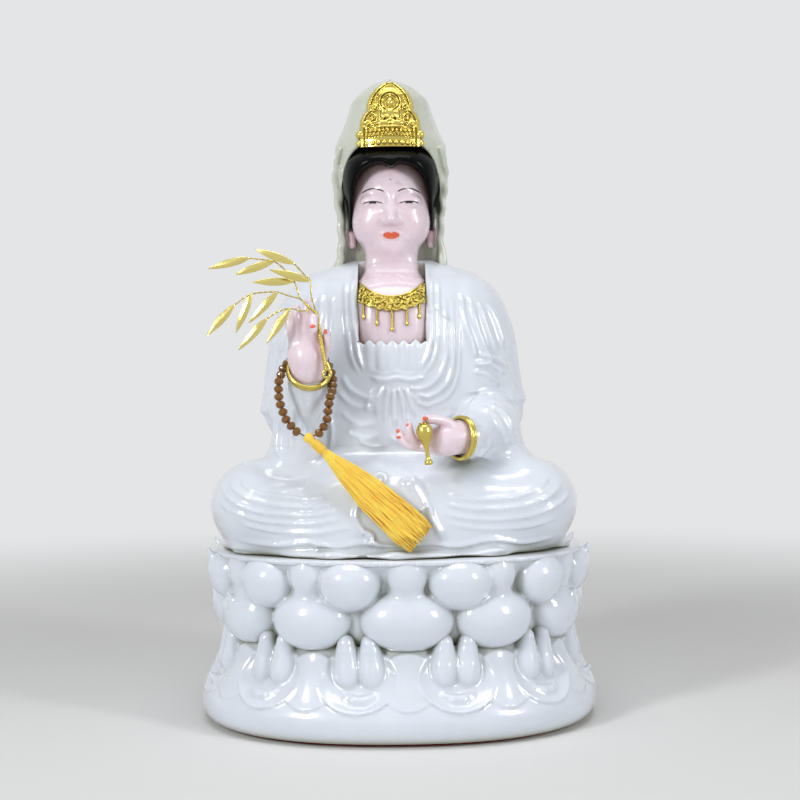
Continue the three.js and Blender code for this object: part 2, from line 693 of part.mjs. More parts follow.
function foreheadJewel() {
  const jewelShare = 0.69;
  const z = chin + jewelShare * headHeight;
  return ball(new THREE.Vector3(centreX, head.front(centreX, z) - jewelRadius - fit / 2, z),
    jewelRadius, jewelRadius, jewelRadius, 8, 6).subtract(bust(fit / 2));
}

// Willow branch: a straight twisted stem held between finger and thumb, four twigs and ten leaves
const pinchShares = [0.145, -0.25, 0.5];
const stemDirection = new THREE.Vector3(-0.167, 0.024, 0.985).normalize();
const stemBelowShare = 0.67;
const pinch = reachFrom(rightWrist, rightHandLength, pinchShares);
const stemTop = pinch.clone().addScaledVector(stemDirection, stemLength * (1 - stemBelowShare));
const stemFoot = pinch.clone().addScaledVector(stemDirection, -stemLength * stemBelowShare);
const twigShares = [
  [[0, 0, 0], [-0.036, -0.04, 0.14], [-0.044, -0.05, 0.27], [-0.09, -0.05, 0.32], [-0.18, -0.05, 0.42]],
  [[0, 0, 0], [-0.046, -0.03, 0.036], [-0.084, -0.04, 0.074], [-0.138, -0.03, 0.132], [-0.184, -0.02, 0.27],
    [-0.266, -0.01, 0.374], [-0.358, -0.01, 0.446], [-0.45, -0.01, 0.462], [-0.572, -0.01, 0.476]],
  [[-0.084, -0.04, 0.074], [-0.14, -0.04, 0.12], [-0.232, -0.04, 0.146], [-0.328, -0.04, 0.178],
    [-0.44, -0.04, 0.178], [-0.548, -0.04, 0.164], [-0.624, -0.04, 0.126], [-0.698, -0.04, 0.072]],
  [[-0.046, -0.03, 0.036], [-0.112, -0.045, 0.012], [-0.222, -0.05, 0.036], [-0.326, -0.05, 0.008],
    [-0.42, -0.05, -0.05]],
];
const leafShares = [
  [0, 4, 159], [0, 2, 164], [1, 8, 194], [1, 6, 199], [1, 4, 181], [2, 3, 227], [2, 5, 247], [2, 7, 228],
  [3, 2, 236], [3, 4, 228],
];
const leafLeanDegrees = [-3, 2.3, -2, 4, 5.3, 1.7, -2.7, 3, -1.7, 2.7];

function branchWire() {
  const eyeletCentre = stemFoot.clone().addScaledVector(stemDirection, -eyeletRadius);
  const stem = rod(stemFoot, stemTop, stemRadius, 10);
  const twigs = twigShares.map((run) => {
    const points = run.map((shares) => reachFrom(stemTop, sprayReach, shares));
    return limb(points, points.map(() => twigRadius), 5, 2);
  });
  const eyelet = ring(eyeletCentre, new THREE.Vector3(0, -1, 0), eyeletRadius, stemRadius, 12, 6);
  const collar = ball(stemTop, stemRadius, stemRadius, stemRadius, 8, 6);
  return joined([stem, collar, eyelet, ...twigs]);
}

// A leaf lies just in front of its twig: a pointed blade of foil
function leaf(index) {
  const [twig, knot, degrees] = leafShares[index];
  const base = reachFrom(stemTop, sprayReach, twigShares[twig][knot]);
  const shape = new THREE.Shape();
  shape.moveTo(0, -twigRadius);
  shape.quadraticCurveTo(leafLength * 0.45, -leafWidth, leafLength, 0);
  shape.quadraticCurveTo(leafLength * 0.45, leafWidth, 0, twigRadius);
  const settings = { depth: leafThickness, bevelEnabled: false, curveSegments: 5 };
  const blade = new THREE.ExtrudeGeometry(shape, settings);
  const angle = THREE.MathUtils.degToRad(degrees);
  blade.rotateX(Math.PI / 2);
  blade.translate(-twigRadius, -twigRadius - fit, 0);
  blade.rotateZ(THREE.MathUtils.degToRad(-leafLeanDegrees[index]));
  blade.rotateY(-angle);
  blade.translate(base.x, base.y, base.z);
  return toSolid(blade);
}

// Bead string: one cord round the wrist, both of its ends in the tassel's knot, through points measured from
// the wrist
const stringRoute = [
  [-1.5, -8.7, -27.2], [-5.7, -8.3, -24.8], [-9.6, -7.7, -20.1], [-11.9, -6.7, -14.6],
  [-13.1, -5.5, -8.8], [-12.9, -3.5, -2.9], [-11.3, 0.7, 2.4], [-7.5, 6.3, 7.2],
  [-0.5, 8.7, 9.2], [6.3, 7.7, 6.4], [9.1, 5.3, 2], [10.3, 2.5, -2.8],
  [10.4, -1.5, -7.4], [9.2, -5.5, -11], [8.7, -7.3, -15.2], [8.1, -8.3, -20],
  [6.3, -8.7, -24.2], [3.9, -8.7, -26.6], [1.5, -8.7, -27.2],
].map((point) => rightWrist.clone().add(new THREE.Vector3(...point)));
const stringCurve = new THREE.CatmullRomCurve3(stringRoute, false, 'centripetal');
const stringPitch = (stringCurve.getLength() - 2 * knotRadius) / beadCount;

function beadCord() {
  const section = new THREE.Shape();
  section.absarc(0, 0, cordDiameter / 2, 0, 2 * Math.PI, false);
  const geometry = new THREE.ExtrudeGeometry(section, {
    steps: 60, curveSegments: 3, bevelEnabled: false, extrudePath: stringCurve,
  });
  return toSolid(geometry);
}

function bead(index) {
  const share = (knotRadius + (index + 1 / 2) * stringPitch) / stringCurve.getLength();
  const half = (stringPitch - beadGap) / 2;
  const profileShares = [[0.55, -1], [1, -0.35], [1, 0.35], [0.55, 1]];
  const outer = profileShares.map(([r, z]) => new THREE.Vector2(r * beadRadius, z * half));
  const bore = [new THREE.Vector2(beadBore / 2, half), new THREE.Vector2(beadBore / 2, -half)];
  const geometry = new THREE.LatheGeometry([...outer, ...bore, outer[0]], 6);
  const tangent = stringCurve.getTangentAt(share);
  geometry.applyQuaternion(new THREE.Quaternion().setFromUnitVectors(new THREE.Vector3(0, 1, 0), tangent));
  const at = stringCurve.getPointAt(share);
  geometry.translate(at.x, at.y, at.z);
  return toSolid(geometry);
}

// Tassel: a wrapped knot under the string's two ends, and a skirt of yarn that lies across the lap
const knotTop = stringRoute[0].clone().lerp(stringRoute.at(-1), 1 / 2)
  .add(new THREE.Vector3(0, 0, -cordDiameter));
const tasselDrop = knotTop.z - seat - tasselEndRise;
const tasselAside = Math.sqrt(Math.max(0, tasselLength ** 2 - tasselDrop ** 2 - tasselForward ** 2));
const tasselDirection = new THREE.Vector3(tasselAside, -tasselForward, -tasselDrop).normalize();
const tasselOut = new THREE.Vector3(0, -1, tasselDirection.y / tasselDirection.z).normalize();

function alongTassel(distance, sag) {
  return knotTop.clone().addScaledVector(tasselDirection, distance).add(new THREE.Vector3(-sag, 0, -sag));
}

function tasselKnot() {
  const ends = [alongTassel(knotRadius / 2, 0), alongTassel(knotLength / 2, 0), alongTassel(knotLength, 0)];
  const cord = limb(stringRoute, stringRoute.map(() => cordDiameter / 2 + fit), 8, 5);
  return largest(limb(ends, [knotRadius, knotRadius * 0.85, knotRadius], 10, 2).subtract(cord));
}

function tasselSkirt() {
  const skirtShares = [[0, 0.34, 0], [0.2, 0.55, 0.01], [0.45, 0.85, 0.02], [0.75, 1, 0.02], [1, 0.85, 0]];
  const start = knotLength + knotRadius + fit + skirtShares[0][1] * tasselHalfThickness;
  const length = tasselLength - start;
  const points = skirtShares.map(([along, , sag]) => alongTassel(start + along * length, sag * length));
  const radii = skirtShares.map(([, width]) => width * tasselHalfWidth);
  const across = tasselOut.clone().cross(tasselDirection).normalize();
  return limb(points, radii, 14, 3, tasselHalfThickness / tasselHalfWidth, across);
}

// Vase: held upside down by its bulb, in the left hand
const vaseShares = [
  [0, 0], [0.3, 0], [0.42, 0.05], [0.42, 0.11], [0.28, 0.17], [0.27, 0.34], [0.4, 0.47], [0.8, 0.63],
  [1, 0.78], [0.86, 0.92], [0.45, 1], [0, 1],
];
const vaseBulbShares = [-0.495, -0.36, 0.1];
const vaseLean = new THREE.Vector3(-0.12, 0, 1).normalize();

function vase(grow = 0) {
  const points = vaseShares.map(([r, z]) => new THREE.Vector2(
    r ? r * vaseBulbRadius + grow : 0, (z - 0.78) * vaseHeight + (z > 0.5 ? grow : -grow)));
  const geometry = new THREE.LatheGeometry(points, 18);
  geometry.applyQuaternion(new THREE.Quaternion().setFromUnitVectors(new THREE.Vector3(0, 1, 0), vaseLean));
  const at = reachFrom(leftWrist, leftHandLength, vaseBulbShares);
  geometry.translate(at.x, at.y, at.z);
  return toSolid(geometry);
}

function rightHand() {
  const channelEnd = stemDirection.clone().multiplyScalar(overrun);
  const channel = rod(stemFoot.clone().sub(channelEnd), stemTop, stemRadius + fit, 10);
  const cuts = joined([
    channel, bothBangles(fit), pegHole(rightPegStart, rightPegEnd, rightInward),
    limb([pinch.clone().lerp(stemTop, 1 / 2), stemTop.clone().add(channelEnd)],
      [stemRadius + fit, stemRadius + fit], 8, 2),
  ]);
  return largest(hand(rightWrist, rightHandLength, rightHandShares, rightPalmShares, rightPalmSizeShares)
    .subtract(cuts));
}

function leftHand() {
  const cuts = joined([vase(fit), bothBangles(fit), pegHole(leftPegStart, leftPegEnd, leftInward)]);
  return largest(hand(leftWrist, leftHandLength, leftHandShares, leftPalmShares, leftPalmSizeShares)
    .subtract(cuts));
}

// The pieces

addPiece('foot_pad', footPad(), feltColour, 0.95);
addPiece('throne_base', throneBase(), jadeColour, 0.25);
addPiece('throne_lotus', throneLotus().subtract(dowel(fit)), jadeColour, 0.25);
addPiece('throne_dowel', dowel(), dowelColour, 0.7);
addPiece('robed_body', robedBody(), jadeColour, 0.25);
addPiece('hood', hoodShell(), jadeColour, 0.25);
addPiece('bust', bust(), skinColour, 0.4);
addPiece('hair_cap', hairCap(), hairColour, 0.2);
addPiece('crown', crown(), goldColour, 0.25, 1);
addPiece('forehead_jewel', foreheadJewel(), jadeColour, 0.05);
addPiece('necklace', necklace(), goldColour, 0.3, 1);
addPiece('right_hand', rightHand(), skinColour, 0.4);
addPiece('left_hand', leftHand(), skinColour, 0.4);
addPiece('right_hand_peg', rod(rightPegStart, rightPegEnd, pegRadius), dowelColour, 0.7);
addPiece('left_hand_peg', rod(leftPegStart, leftPegEnd, pegRadius), dowelColour, 0.7);
addPiece('right_bangle', bangle(rightBangleCentre, rightBangleNormal), goldColour, 0.15, 1);
addPiece('left_bangle', bangle(leftBangleCentre, leftBangleNormal), goldColour, 0.15, 1);
addPiece('vase', vase(), goldColour, 0.15, 1);
addPiece('branch_wire', branchWire(), goldColour, 0.3, 1);
leafShares.forEach((_, index) => addPiece(`leaf_${index + 1}`, leaf(index), leafColour, 0.3, 1));
addPiece('bead_cord', beadCord(), amberColour, 0.8);
for (let index = 0; index < beadCount; index += 1) {
  addPiece(`bead_${String(index + 1).padStart(2, '0')}`, bead(index), amberColour, 0.1);
}
addPiece('tassel_knot', tasselKnot(), yarnColour, 0.8);
addPiece('tassel_skirt', tasselSkirt(), yarnColour, 0.8);

export default figure;
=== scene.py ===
# %% [markdown]
# # A seated jade figure on a lotus throne
# The real thing is a household statue about 300 mm tall. It is cut from white and pink-tinted stone and
# wears gold plated ornaments, a bead string and a silk tassel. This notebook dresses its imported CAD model.
# Every length below is in millimetres, X runs to the figure's left, Y runs backward and Z runs up.

# %% The frame
from math import cos, pi, radians, sin

import bpy
import numpy as np
from mathutils import Matrix, Vector


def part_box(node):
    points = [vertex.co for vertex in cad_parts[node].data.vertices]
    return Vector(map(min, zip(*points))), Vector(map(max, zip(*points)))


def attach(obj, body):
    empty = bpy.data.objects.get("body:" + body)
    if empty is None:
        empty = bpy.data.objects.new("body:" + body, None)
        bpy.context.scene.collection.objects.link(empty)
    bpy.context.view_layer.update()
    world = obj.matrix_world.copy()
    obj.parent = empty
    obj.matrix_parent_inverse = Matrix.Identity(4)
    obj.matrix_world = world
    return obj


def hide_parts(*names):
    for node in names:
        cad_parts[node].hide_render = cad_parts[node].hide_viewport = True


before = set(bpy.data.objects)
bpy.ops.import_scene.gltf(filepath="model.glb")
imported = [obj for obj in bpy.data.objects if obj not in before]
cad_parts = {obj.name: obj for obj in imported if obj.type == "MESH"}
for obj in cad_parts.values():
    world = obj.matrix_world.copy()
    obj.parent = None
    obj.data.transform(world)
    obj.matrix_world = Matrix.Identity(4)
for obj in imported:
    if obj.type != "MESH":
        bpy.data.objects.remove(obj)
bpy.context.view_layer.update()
MM = 0.001


def cad_span(node):
    """Lowest and highest corner of a CAD node, in millimetres."""
    low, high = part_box(node)
    return np.array(low) / MM, np.array(high) / MM


# %% [markdown]
# ## Camera
# The photograph was taken from straight in front with a short telephoto lens, a little below the middle of
# the figure. The two rims of the oval base give the distance. The camera stands level, the picture hangs a
# little low and to one side of the lens axis, which is a small shift, and the camera leans by half a
# degree.

# %% Camera
PICTURE = 800
FOCAL_PIXELS = 1395
SHIFT_PIXELS = (4, -17)
CAMERA_PLACE = Vector((0, -667, 155)) * MM
CAMERA_LEAN = radians(-0.6)

camera_data = bpy.data.cameras.new("camera")
camera_data.sensor_width = 36
camera_data.lens = FOCAL_PIXELS / PICTURE * camera_data.sensor_width
camera_data.shift_x, camera_data.shift_y = [pixels / PICTURE for pixels in SHIFT_PIXELS]
camera_data.clip_start = 0.01
camera = bpy.data.objects.new("camera", camera_data)
camera.matrix_world = (Matrix.Translation(CAMERA_PLACE) @ Matrix.Rotation(radians(90), 4, "X")
                       @ Matrix.Rotation(CAMERA_LEAN, 4, "Z"))
bpy.context.collection.objects.link(camera)
bpy.context.scene.camera = camera
print("lens, mm:", round(camera_data.lens, 1))

# %% [markdown]
# ## Shader maths
# A finish is a small program on sockets. `Socket` wraps one output, so that `1 - mask` or `abs(x) * 2`
# adds the Math nodes by itself. `Finish` holds one material: `node` adds any node from its type, its
# settings and its inputs, and `mix` blends colours, which Math nodes would turn grey.


# %% Sockets and finishes
class Socket:
    """One output of a node. Operators on it add Math nodes."""

    def __init__(self, finish, output):
        self.finish, self.output = finish, output

    def math(self, operation, *inputs):
        return self.finish.node("ShaderNodeMath", {"operation": operation}, dict(enumerate(inputs)))

    def __add__(self, other):
        return self.math("ADD", self, other)

    __radd__ = __add__

    def __sub__(self, other):
        return self.math("SUBTRACT", self, other)

    def __rsub__(self, other):
        return self.math("SUBTRACT", other, self)

    def __mul__(self, other):
        return self.math("MULTIPLY", self, other)

    __rmul__ = __mul__

    def __truediv__(self, other):
        return self.math("DIVIDE", self, other)

    def __pow__(self, power):
        return self.math("POWER", self, power)

    def __abs__(self):
        return self.math("ABSOLUTE", self)

    def most(self, other):
        return self.math("MAXIMUM", self, other)

    def below(self, edge, soft):
        """1 where the value is under the edge, falling to 0 over a soft width."""
        return self.finish.node("ShaderNodeMapRange", {"interpolation_type": "SMOOTHSTEP"}, {
            "Value": self, "From Min": edge - soft, "From Max": edge + soft, "To Min": 1, "To Max": 0})


# %% Finishes
class Finish:
    """One procedural material around a Principled shader."""

    def __init__(self, name, **constants):
        self.material = bpy.data.materials.new(name)
        self.material.use_nodes = True
        self.tree = self.material.node_tree
        self.shader = self.tree.nodes["Principled BSDF"]
        for socket, value in constants.items():
            self.shader.inputs[socket.replace("_", " ")].default_value = value

    def feed(self, socket, value):
        if isinstance(value, Socket):
            self.tree.links.new(value.output, socket)
        else:
            socket.default_value = value

    def node(self, kind, settings=None, inputs=None, output=0):
        node = self.tree.nodes.new(kind)
        for setting, value in (settings or {}).items():
            setattr(node, setting, value)
        for socket, value in (inputs or {}).items():
            self.feed(node.inputs[socket], value)
        return Socket(self, node.outputs[output])

    def place(self):
        """The point on the object, as X, Y and Z in millimetres."""
        spot = self.node("ShaderNodeTexCoord", output=3)
        split = self.tree.nodes.new("ShaderNodeSeparateXYZ")
        self.feed(split.inputs[0], spot)
        return [Socket(self, output) / MM for output in split.outputs]

    def spot(self):
        return self.node("ShaderNodeTexCoord", output=3)

    def stretched(self, scale):
        """Object coordinates scaled by three numbers, per millimetre."""
        per_metre = tuple(value / MM for value in scale)
        return self.node("ShaderNodeVectorMath", {"operation": "MULTIPLY"}, {0: self.spot(), 1: per_metre})

    def noise(self, size, detail=3, roughness=0.5, vector=None):
        """Cloudy noise from 0 to 1, with lumps of about one size."""
        vector = vector or self.stretched((1, 1, 1))
        return self.node("ShaderNodeTexNoise", inputs={
            "Vector": vector, "Scale": 1 / size, "Detail": detail, "Roughness": roughness})

    def mix(self, share, first, second):
        mixer = self.tree.nodes.new("ShaderNodeMix")
        mixer.data_type = "RGBA"
        for index, value in zip((0, 6, 7), (share, first, second)):
            self.feed(mixer.inputs[index], value)
        return Socket(self, mixer.outputs[2])

    def crevice(self, distance):
        """1 in the open, falling toward 0 in narrow places."""
        return self.node("ShaderNodeAmbientOcclusion", {"samples": 6}, {"Distance": distance * MM}, output=1)

    def bump(self, height, depth):
        """A height from 0 to 1 becomes relief of a depth in millimetres."""
        normal = self.node("ShaderNodeBump", inputs={
            "Height": height, "Distance": depth * MM, "Strength": 1})
        self.feed(self.shader.inputs["Normal"], normal)

    def surface(self, **inputs):
        for socket, value in inputs.items():
            self.feed(self.shader.inputs[socket.replace("_", " ")], value)
        return self


# %% Colours
def colour(red, green, blue):
    """A colour as it looks on screen, from 0 to 255, in the linear values that nodes take."""
    def linear(value):
        share = value / 255
        return share / 12.92 if share <= 0.04045 else ((share + 0.055) / 1.055) ** 2.4
    return tuple(linear(value) for value in (red, green, blue)) + (1,)


# %% [markdown]
# ## Stone finishes
# White jade is a cloudy, slightly green stone with a glassy polish. Light goes a few millimetres into it,
# which subsurface scattering gives. Its grooves get painted shade: ambient occlusion darkens them a little
# toward a greyer, greener colour. The pink stone of the skin is the same with a softer polish, and its
# narrow places get painted shade too. The face is painted: brows, eyes and lips are drawn with distances to
# simple curves, in millimetres on the object.

# %% White jade
JADE_LIGHT = colour(229, 235, 246)
JADE_CLOUD = colour(217, 224, 234)
# The grey-green of the painted shade in the grooves
JADE_PAINTED_SHADE = colour(152, 154, 130)
VEIL_LIGHT = colour(212, 217, 205)
VEIL_CLOUD = colour(194, 200, 184)


def jade_finish(name, light, cloud):
    finish = Finish(name, IOR=1.55, Subsurface_Weight=0.2, Subsurface_Scale=0.002, Coat_Weight=0.7,
                    Coat_Roughness=0.04, Coat_IOR=1.5)
    finish.shader.inputs["Subsurface Radius"].default_value = (1.0, 1.05, 0.85)
    clouds = finish.mix(finish.noise(14, 4), light, cloud)
    # Painted shade: ambient occlusion darkens narrow grooves toward the grey-green
    whole = finish.mix(finish.crevice(11).below(0.42, 0.42) * 0.95, clouds, JADE_PAINTED_SHADE)
    finish.bump(finish.noise(3.5, 2), 0.05)
    return finish.surface(Base_Color=whole, Roughness=finish.noise(6, 3) * 0.1 + 0.13)


jade = jade_finish("white_jade", JADE_LIGHT, JADE_CLOUD)
veil_jade = jade_finish("thin_jade", VEIL_LIGHT, VEIL_CLOUD)
print("finishes:", jade.material.name, veil_jade.material.name)

# %% [markdown]
# ## Meshes from numbers
# Each piece is made from arrays of points and four-sided faces. `Solid` gathers several bodies of one
# finish into one mesh. `loft` is the workhorse: rings of points, one after the other, closed at both ends.


# %% Building meshes
class Solid:
    """Bodies that become one mesh. Points are in millimetres."""

    def __init__(self):
        self.points, self.faces, self.count = [], [], 0

    def add(self, points, faces):
        self.points.append(np.asarray(points, float))
        self.faces.append(np.asarray(faces, int) + self.count)
        self.count += len(points)
        return self

    def loft(self, rings):
        """A skin through rings of points, given as an array of ring, point and coordinate."""
        rings = np.asarray(rings, float)
        rows, around = rings.shape[:2]
        index = np.arange(rows * around).reshape(rows, around)
        beside = np.roll(index, -1, axis=1)
        faces = np.stack([index[:-1], beside[:-1], beside[1:], index[1:]], axis=-1).reshape(-1, 4)
        points = rings.reshape(-1, 3)
        middles = [rings[0].mean(axis=0), rings[-1].mean(axis=0)]
        low, high = rows * around, rows * around + 1
        first = np.stack([np.full(around, low), beside[0], index[0], index[0]], axis=-1)
        last = np.stack([np.full(around, high), index[-1], beside[-1], beside[-1]], axis=-1)
        return self.add(np.vstack([points, middles]), np.vstack([faces, first, last]))

    def piece(self, name, finish, slot, body, *nodes, flat=False):
        """Turns the bodies into a Blender object that stands for its CAD nodes."""
        mesh = bpy.data.meshes.new(name)
        points, faces = np.vstack(self.points) * MM, np.vstack(self.faces)
        corners = [face[:3] if face[2] == face[3] else face for face in faces.tolist()]
        mesh.from_pydata(points.tolist(), [], corners)
        mesh.polygons.foreach_set("use_smooth", [not flat] * len(corners))
        mesh.materials.append(finish.material)
        mesh.validate()
        mesh.update()
        made = bpy.data.objects.new(name, mesh)
        bpy.context.collection.objects.link(made)
        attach(made, body)
        if nodes:
            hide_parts(*nodes)
        print(f"{name}: {len(corners)} faces")
        return made


# %% Runs and rings
def smooth_run(values, count):
    """A smooth run of points through a few given ones."""
    values = np.asarray(values, float)
    padded = np.vstack([2 * values[0] - values[1], values, 2 * values[-1] - values[-2]])
    place = np.linspace(0, len(values) - 1, count)
    low = np.minimum(place.astype(int), len(values) - 2)
    t = (place - low)[:, None]
    a, b, c, d = (padded[low + step] for step in range(4))
    return 0.5 * (2 * b + (c - a) * t + (2 * a - 5 * b + 4 * c - d) * t**2 + (3 * b - a - 3 * c + d) * t**3)


def unit(vectors):
    vectors = np.asarray(vectors, float)
    return vectors / np.linalg.norm(vectors, axis=-1, keepdims=True)


def tube_rings(run, radii, around, upright=(0, 0, 1)):
    """Rings of a tube along a run."""
    run = np.asarray(run, float)
    along = unit(np.gradient(run, axis=0))
    side = unit(np.cross(along, upright))
    up = np.cross(side, along)
    angle = np.linspace(0, 2 * pi, around, endpoint=False)[None, :, None]
    radii = np.broadcast_to(radii, len(run))[:, None, None]
    return run[:, None] + radii * (side[:, None] * np.cos(angle) + up[:, None] * np.sin(angle))


def rounded_tube(run, radii, around, upright=(0, 0, 1)):
    """Rings of a tube whose two ends are round."""
    run, radii = np.asarray(run, float), np.broadcast_to(radii, len(run)).astype(float)
    ends = unit(np.array([run[0] - run[1], run[-1] - run[-2]]))
    bends = np.radians([80, 55, 28])
    first = [run[0] + ends[0] * radii[0] * np.sin(bend) for bend in bends]
    last = [run[-1] + ends[1] * radii[-1] * np.sin(bend) for bend in bends[::-1]]
    whole = np.concatenate([radii[0] * np.cos(bends), radii, radii[-1] * np.cos(bends[::-1])])
    return tube_rings(np.vstack([first, run, last]), whole, around, upright)


def ball_rings(centre, sizes, around=12, rows=7):
    """Rings of an ellipsoid."""
    rise = np.linspace(-pi / 2, pi / 2, rows + 2)[1:-1, None]
    angle = np.linspace(0, 2 * pi, around, endpoint=False)[None, :]
    level = np.cos(rise)
    shape = np.stack(np.broadcast_arrays(level * np.cos(angle), level * np.sin(angle), np.sin(rise)), -1)
    return np.asarray(centre, float) + shape * np.asarray(sizes, float)


def turned(profile, around):
    """Rings of a lathe form about Z, from (radius, height) pairs."""
    angle = np.linspace(0, 2 * pi, around, endpoint=False)[None, :]
    radius, height = np.asarray(profile, float).T[:, :, None]
    return np.stack(np.broadcast_arrays(radius * np.cos(angle), radius * np.sin(angle), height), -1)


# %% [markdown]
# ## Carved forms
# Petals, robe, head and hands flow into each other, as they do under a grinding wheel. Sculpting by hand
# is one way and metaballs are another. Here each form is a field: a function that is negative inside the
# stone. Fields of simple bodies are blended with a soft minimum, and `carve` turns the zero level into a
# skin of four-sided faces. It samples a grid near the skin only, puts one point into each cell that the
# skin crosses, and then slides the points onto the exact surface.


# %% Fields
def oval_stack(rows, middle_x, power):
    """A field of level ovals, from rows of (height, half width, half depth, middle in Y)."""
    rows = smooth_run(rows, 12 * len(rows))
    rows = rows[np.argsort(rows[:, 0])]
    heights = rows[:, 0]

    def field(points):
        half_width, half_depth, middle_y = (np.interp(points[:, 2], heights, column)
                                            for column in rows[:, 1:].T)
        x, y = points[:, 0] - middle_x, points[:, 1] - middle_y
        level = (np.abs(x / half_width) ** power + np.abs(y / half_depth) ** power) ** (1 / power)
        side = (1 - 1 / np.maximum(level, 0.05)) * np.hypot(x, y)
        return np.maximum(side, np.maximum(heights[0] - points[:, 2], points[:, 2] - heights[-1]))
    return field


def egg(points, centre, sizes):
    """Distance to an ellipsoid, nearly."""
    away = (points - centre) / sizes
    far = np.linalg.norm(away, axis=1)
    return far * (far - 1) / np.maximum(np.linalg.norm(away / sizes, axis=1), 1e-6)


def bone(points, start, end, first, last):
    """Distance to a rod with two round ends of different radius."""
    start, run = np.asarray(start, float), np.asarray(end, float) - start
    place = np.clip((points - start) @ run / (run @ run), 0, 1)
    return np.linalg.norm(points - start - place[:, None] * run, axis=1) - (first + (last - first) * place)


def limb(points, run, radii, soft=1.0):
    """Distance to a chain of rods, melted together where they meet."""
    whole = bone(points, run[0], run[1], radii[0], radii[1])
    for index in range(1, len(run) - 1):
        part = bone(points, run[index], run[index + 1], radii[index], radii[index + 1])
        whole = blended(whole, part, soft)
    return whole


def blended(first, second, soft):
    """Both bodies, with a soft joint between them."""
    share = np.clip(0.5 + 0.5 * (second - first) / soft, 0, 1)
    return second + (first - second) * share - soft * share * (1 - share)


def without(body, tool, soft):
    """The body with the tool cut out of it."""
    return -blended(-body, tool, soft)


def smooth_step(value):
    """0 below 0, 1 above 1, and an even S between them."""
    value = np.clip(value, 0, 1)
    return value * value * (3 - 2 * value)


# %% Carving
CELL_EDGES = [(np.array(start), axis) for axis in range(3)
              for start in np.ndindex(2, 2, 2) if start[axis] == 0]


def sampled(field, low, high, step):
    """Field values on a grid. Far from the skin only the sign is right."""
    block = 4
    blocks = np.ceil((np.asarray(high, float) - low) / (block * step)).astype(int)
    centres = low + (np.stack(np.meshgrid(*map(np.arange, blocks), indexing="ij"), -1) + 0.4) * block * step
    rough = field(centres.reshape(-1, 3)).reshape(blocks)
    values, near = np.where(rough < 0, -1.0, 1.0), np.abs(rough) < 1.7 * block * step
    for axis in range(3):
        values, near = values.repeat(block, axis), near.repeat(block, axis)
    spots = np.argwhere(near)
    values[tuple(spots.T)] = field(low + spots * step)
    return values


def carve(field, low, high, step):
    """Points and faces of the skin where the field is zero."""
    low = np.asarray(low, float)
    step = step * 1
    values = sampled(field, low, high, step)
    inside = values < 0
    size = np.array(values.shape) - 1
    corners = [inside[i:size[0] + i, j:size[1] + j, k:size[2] + k] for i, j, k in np.ndindex(2, 2, 2)]
    count = sum(corner.astype(np.int8) for corner in corners)
    cells = np.argwhere((count > 0) & (count < 8))
    total, hits = np.zeros((len(cells), 3)), np.zeros(len(cells))
    for start, axis in CELL_EDGES:
        ahead = np.eye(3, dtype=int)[axis]
        first, second = values[tuple((cells + start).T)], values[tuple((cells + start + ahead).T)]
        crossed = (first < 0) != (second < 0)
        share = np.where(crossed, first / np.where(crossed, first - second, 1), 0)
        total += crossed[:, None] * (start + share[:, None] * ahead)
        hits += crossed
    number = np.full(size, -1)
    number[tuple(cells.T)] = np.arange(len(cells))
    faces = []
    for axis in range(3):
        one, two = (np.eye(3, dtype=int)[(axis + turn) % 3] for turn in (1, 2))
        ahead = np.eye(3, dtype=int)[axis]
        spots = cells[(cells[:, (axis + 1) % 3] > 0) & (cells[:, (axis + 2) % 3] > 0)]
        start, end = inside[tuple(spots.T)], inside[tuple((spots + ahead).T)]
        for chosen, order in ((start & ~end, (0, 1, 2, 3)), (~start & end, (3, 2, 1, 0))):
            picked = spots[chosen]
            square = [number[tuple((picked - shift).T)] for shift in (one + two, two, 0 * one, one)]
            faces.append(np.stack([square[corner] for corner in order], -1))
    return settled(low + step * (cells + total / hits[:, None]), field, step), np.vstack(faces)


def slopes(points, field, reach=0.05):
    """The field's slope at each point, which is its outward direction."""
    rises = [field(points + reach * side) - field(points - reach * side) for side in np.eye(3)]
    return np.stack(rises, -1) / (2 * reach)


def settled(points, field, step, rounds=2):
    """Points slid along the slope onto the field's zero level, by less than a cell in each round."""
    for _ in range(rounds):
        slope = slopes(points, field)
        square = np.maximum((slope**2).sum(axis=1), 0.2)
        points = points - slope * np.clip(field(points) / square, -step / 2, step / 2)[:, None]
    return points


# %% [markdown]
# ## The lotus throne
# The throne is an oval block with twelve petals in each row. A petal could be pushed out of the wall by a
# height map, but that can't undercut, and separate bulbs would meet in hard lines. So the wall is
# unrolled: every point gets a distance along the oval, a distance out of it and a height. There each petal
# is a few eggs and rods, and a soft minimum melts them into the wall like polished stone.

# %% The oval plan
THRONE_HALF_WIDTH = 90
THRONE_HALF_DEPTH = 77
THRONE_POWER = 2.3
PETALS = 12
PETAL_TURN_SHARE = 0.09


def oval(angle, half_width, half_depth, power):
    """Points of a rounded oval. The angle starts in front and goes to the figure's left."""
    across, forward = np.sin(angle), -np.cos(angle)
    return np.stack([half_width * np.sign(across) * np.abs(across) ** (2 / power),
                     half_depth * np.sign(forward) * np.abs(forward) ** (2 / power)], axis=-1)


plan_angle_steps = np.linspace(0, 2 * pi, 20001)
plan = oval(plan_angle_steps, THRONE_HALF_WIDTH, THRONE_HALF_DEPTH, THRONE_POWER)
plan_length = np.concatenate([[0], np.cumsum(np.linalg.norm(np.diff(plan, axis=0), axis=1))])
plan_along = unit(np.gradient(plan, axis=0))
GIRTH = plan_length[-1]
PITCH = GIRTH / PETALS


def plan_at(along):
    """The plan's point and its direction at a distance along it."""
    place = np.mod(along, GIRTH)
    return [np.stack([np.interp(place, plan_length, table[:, axis]) for axis in range(2)], -1)
            for table in (plan, plan_along)]


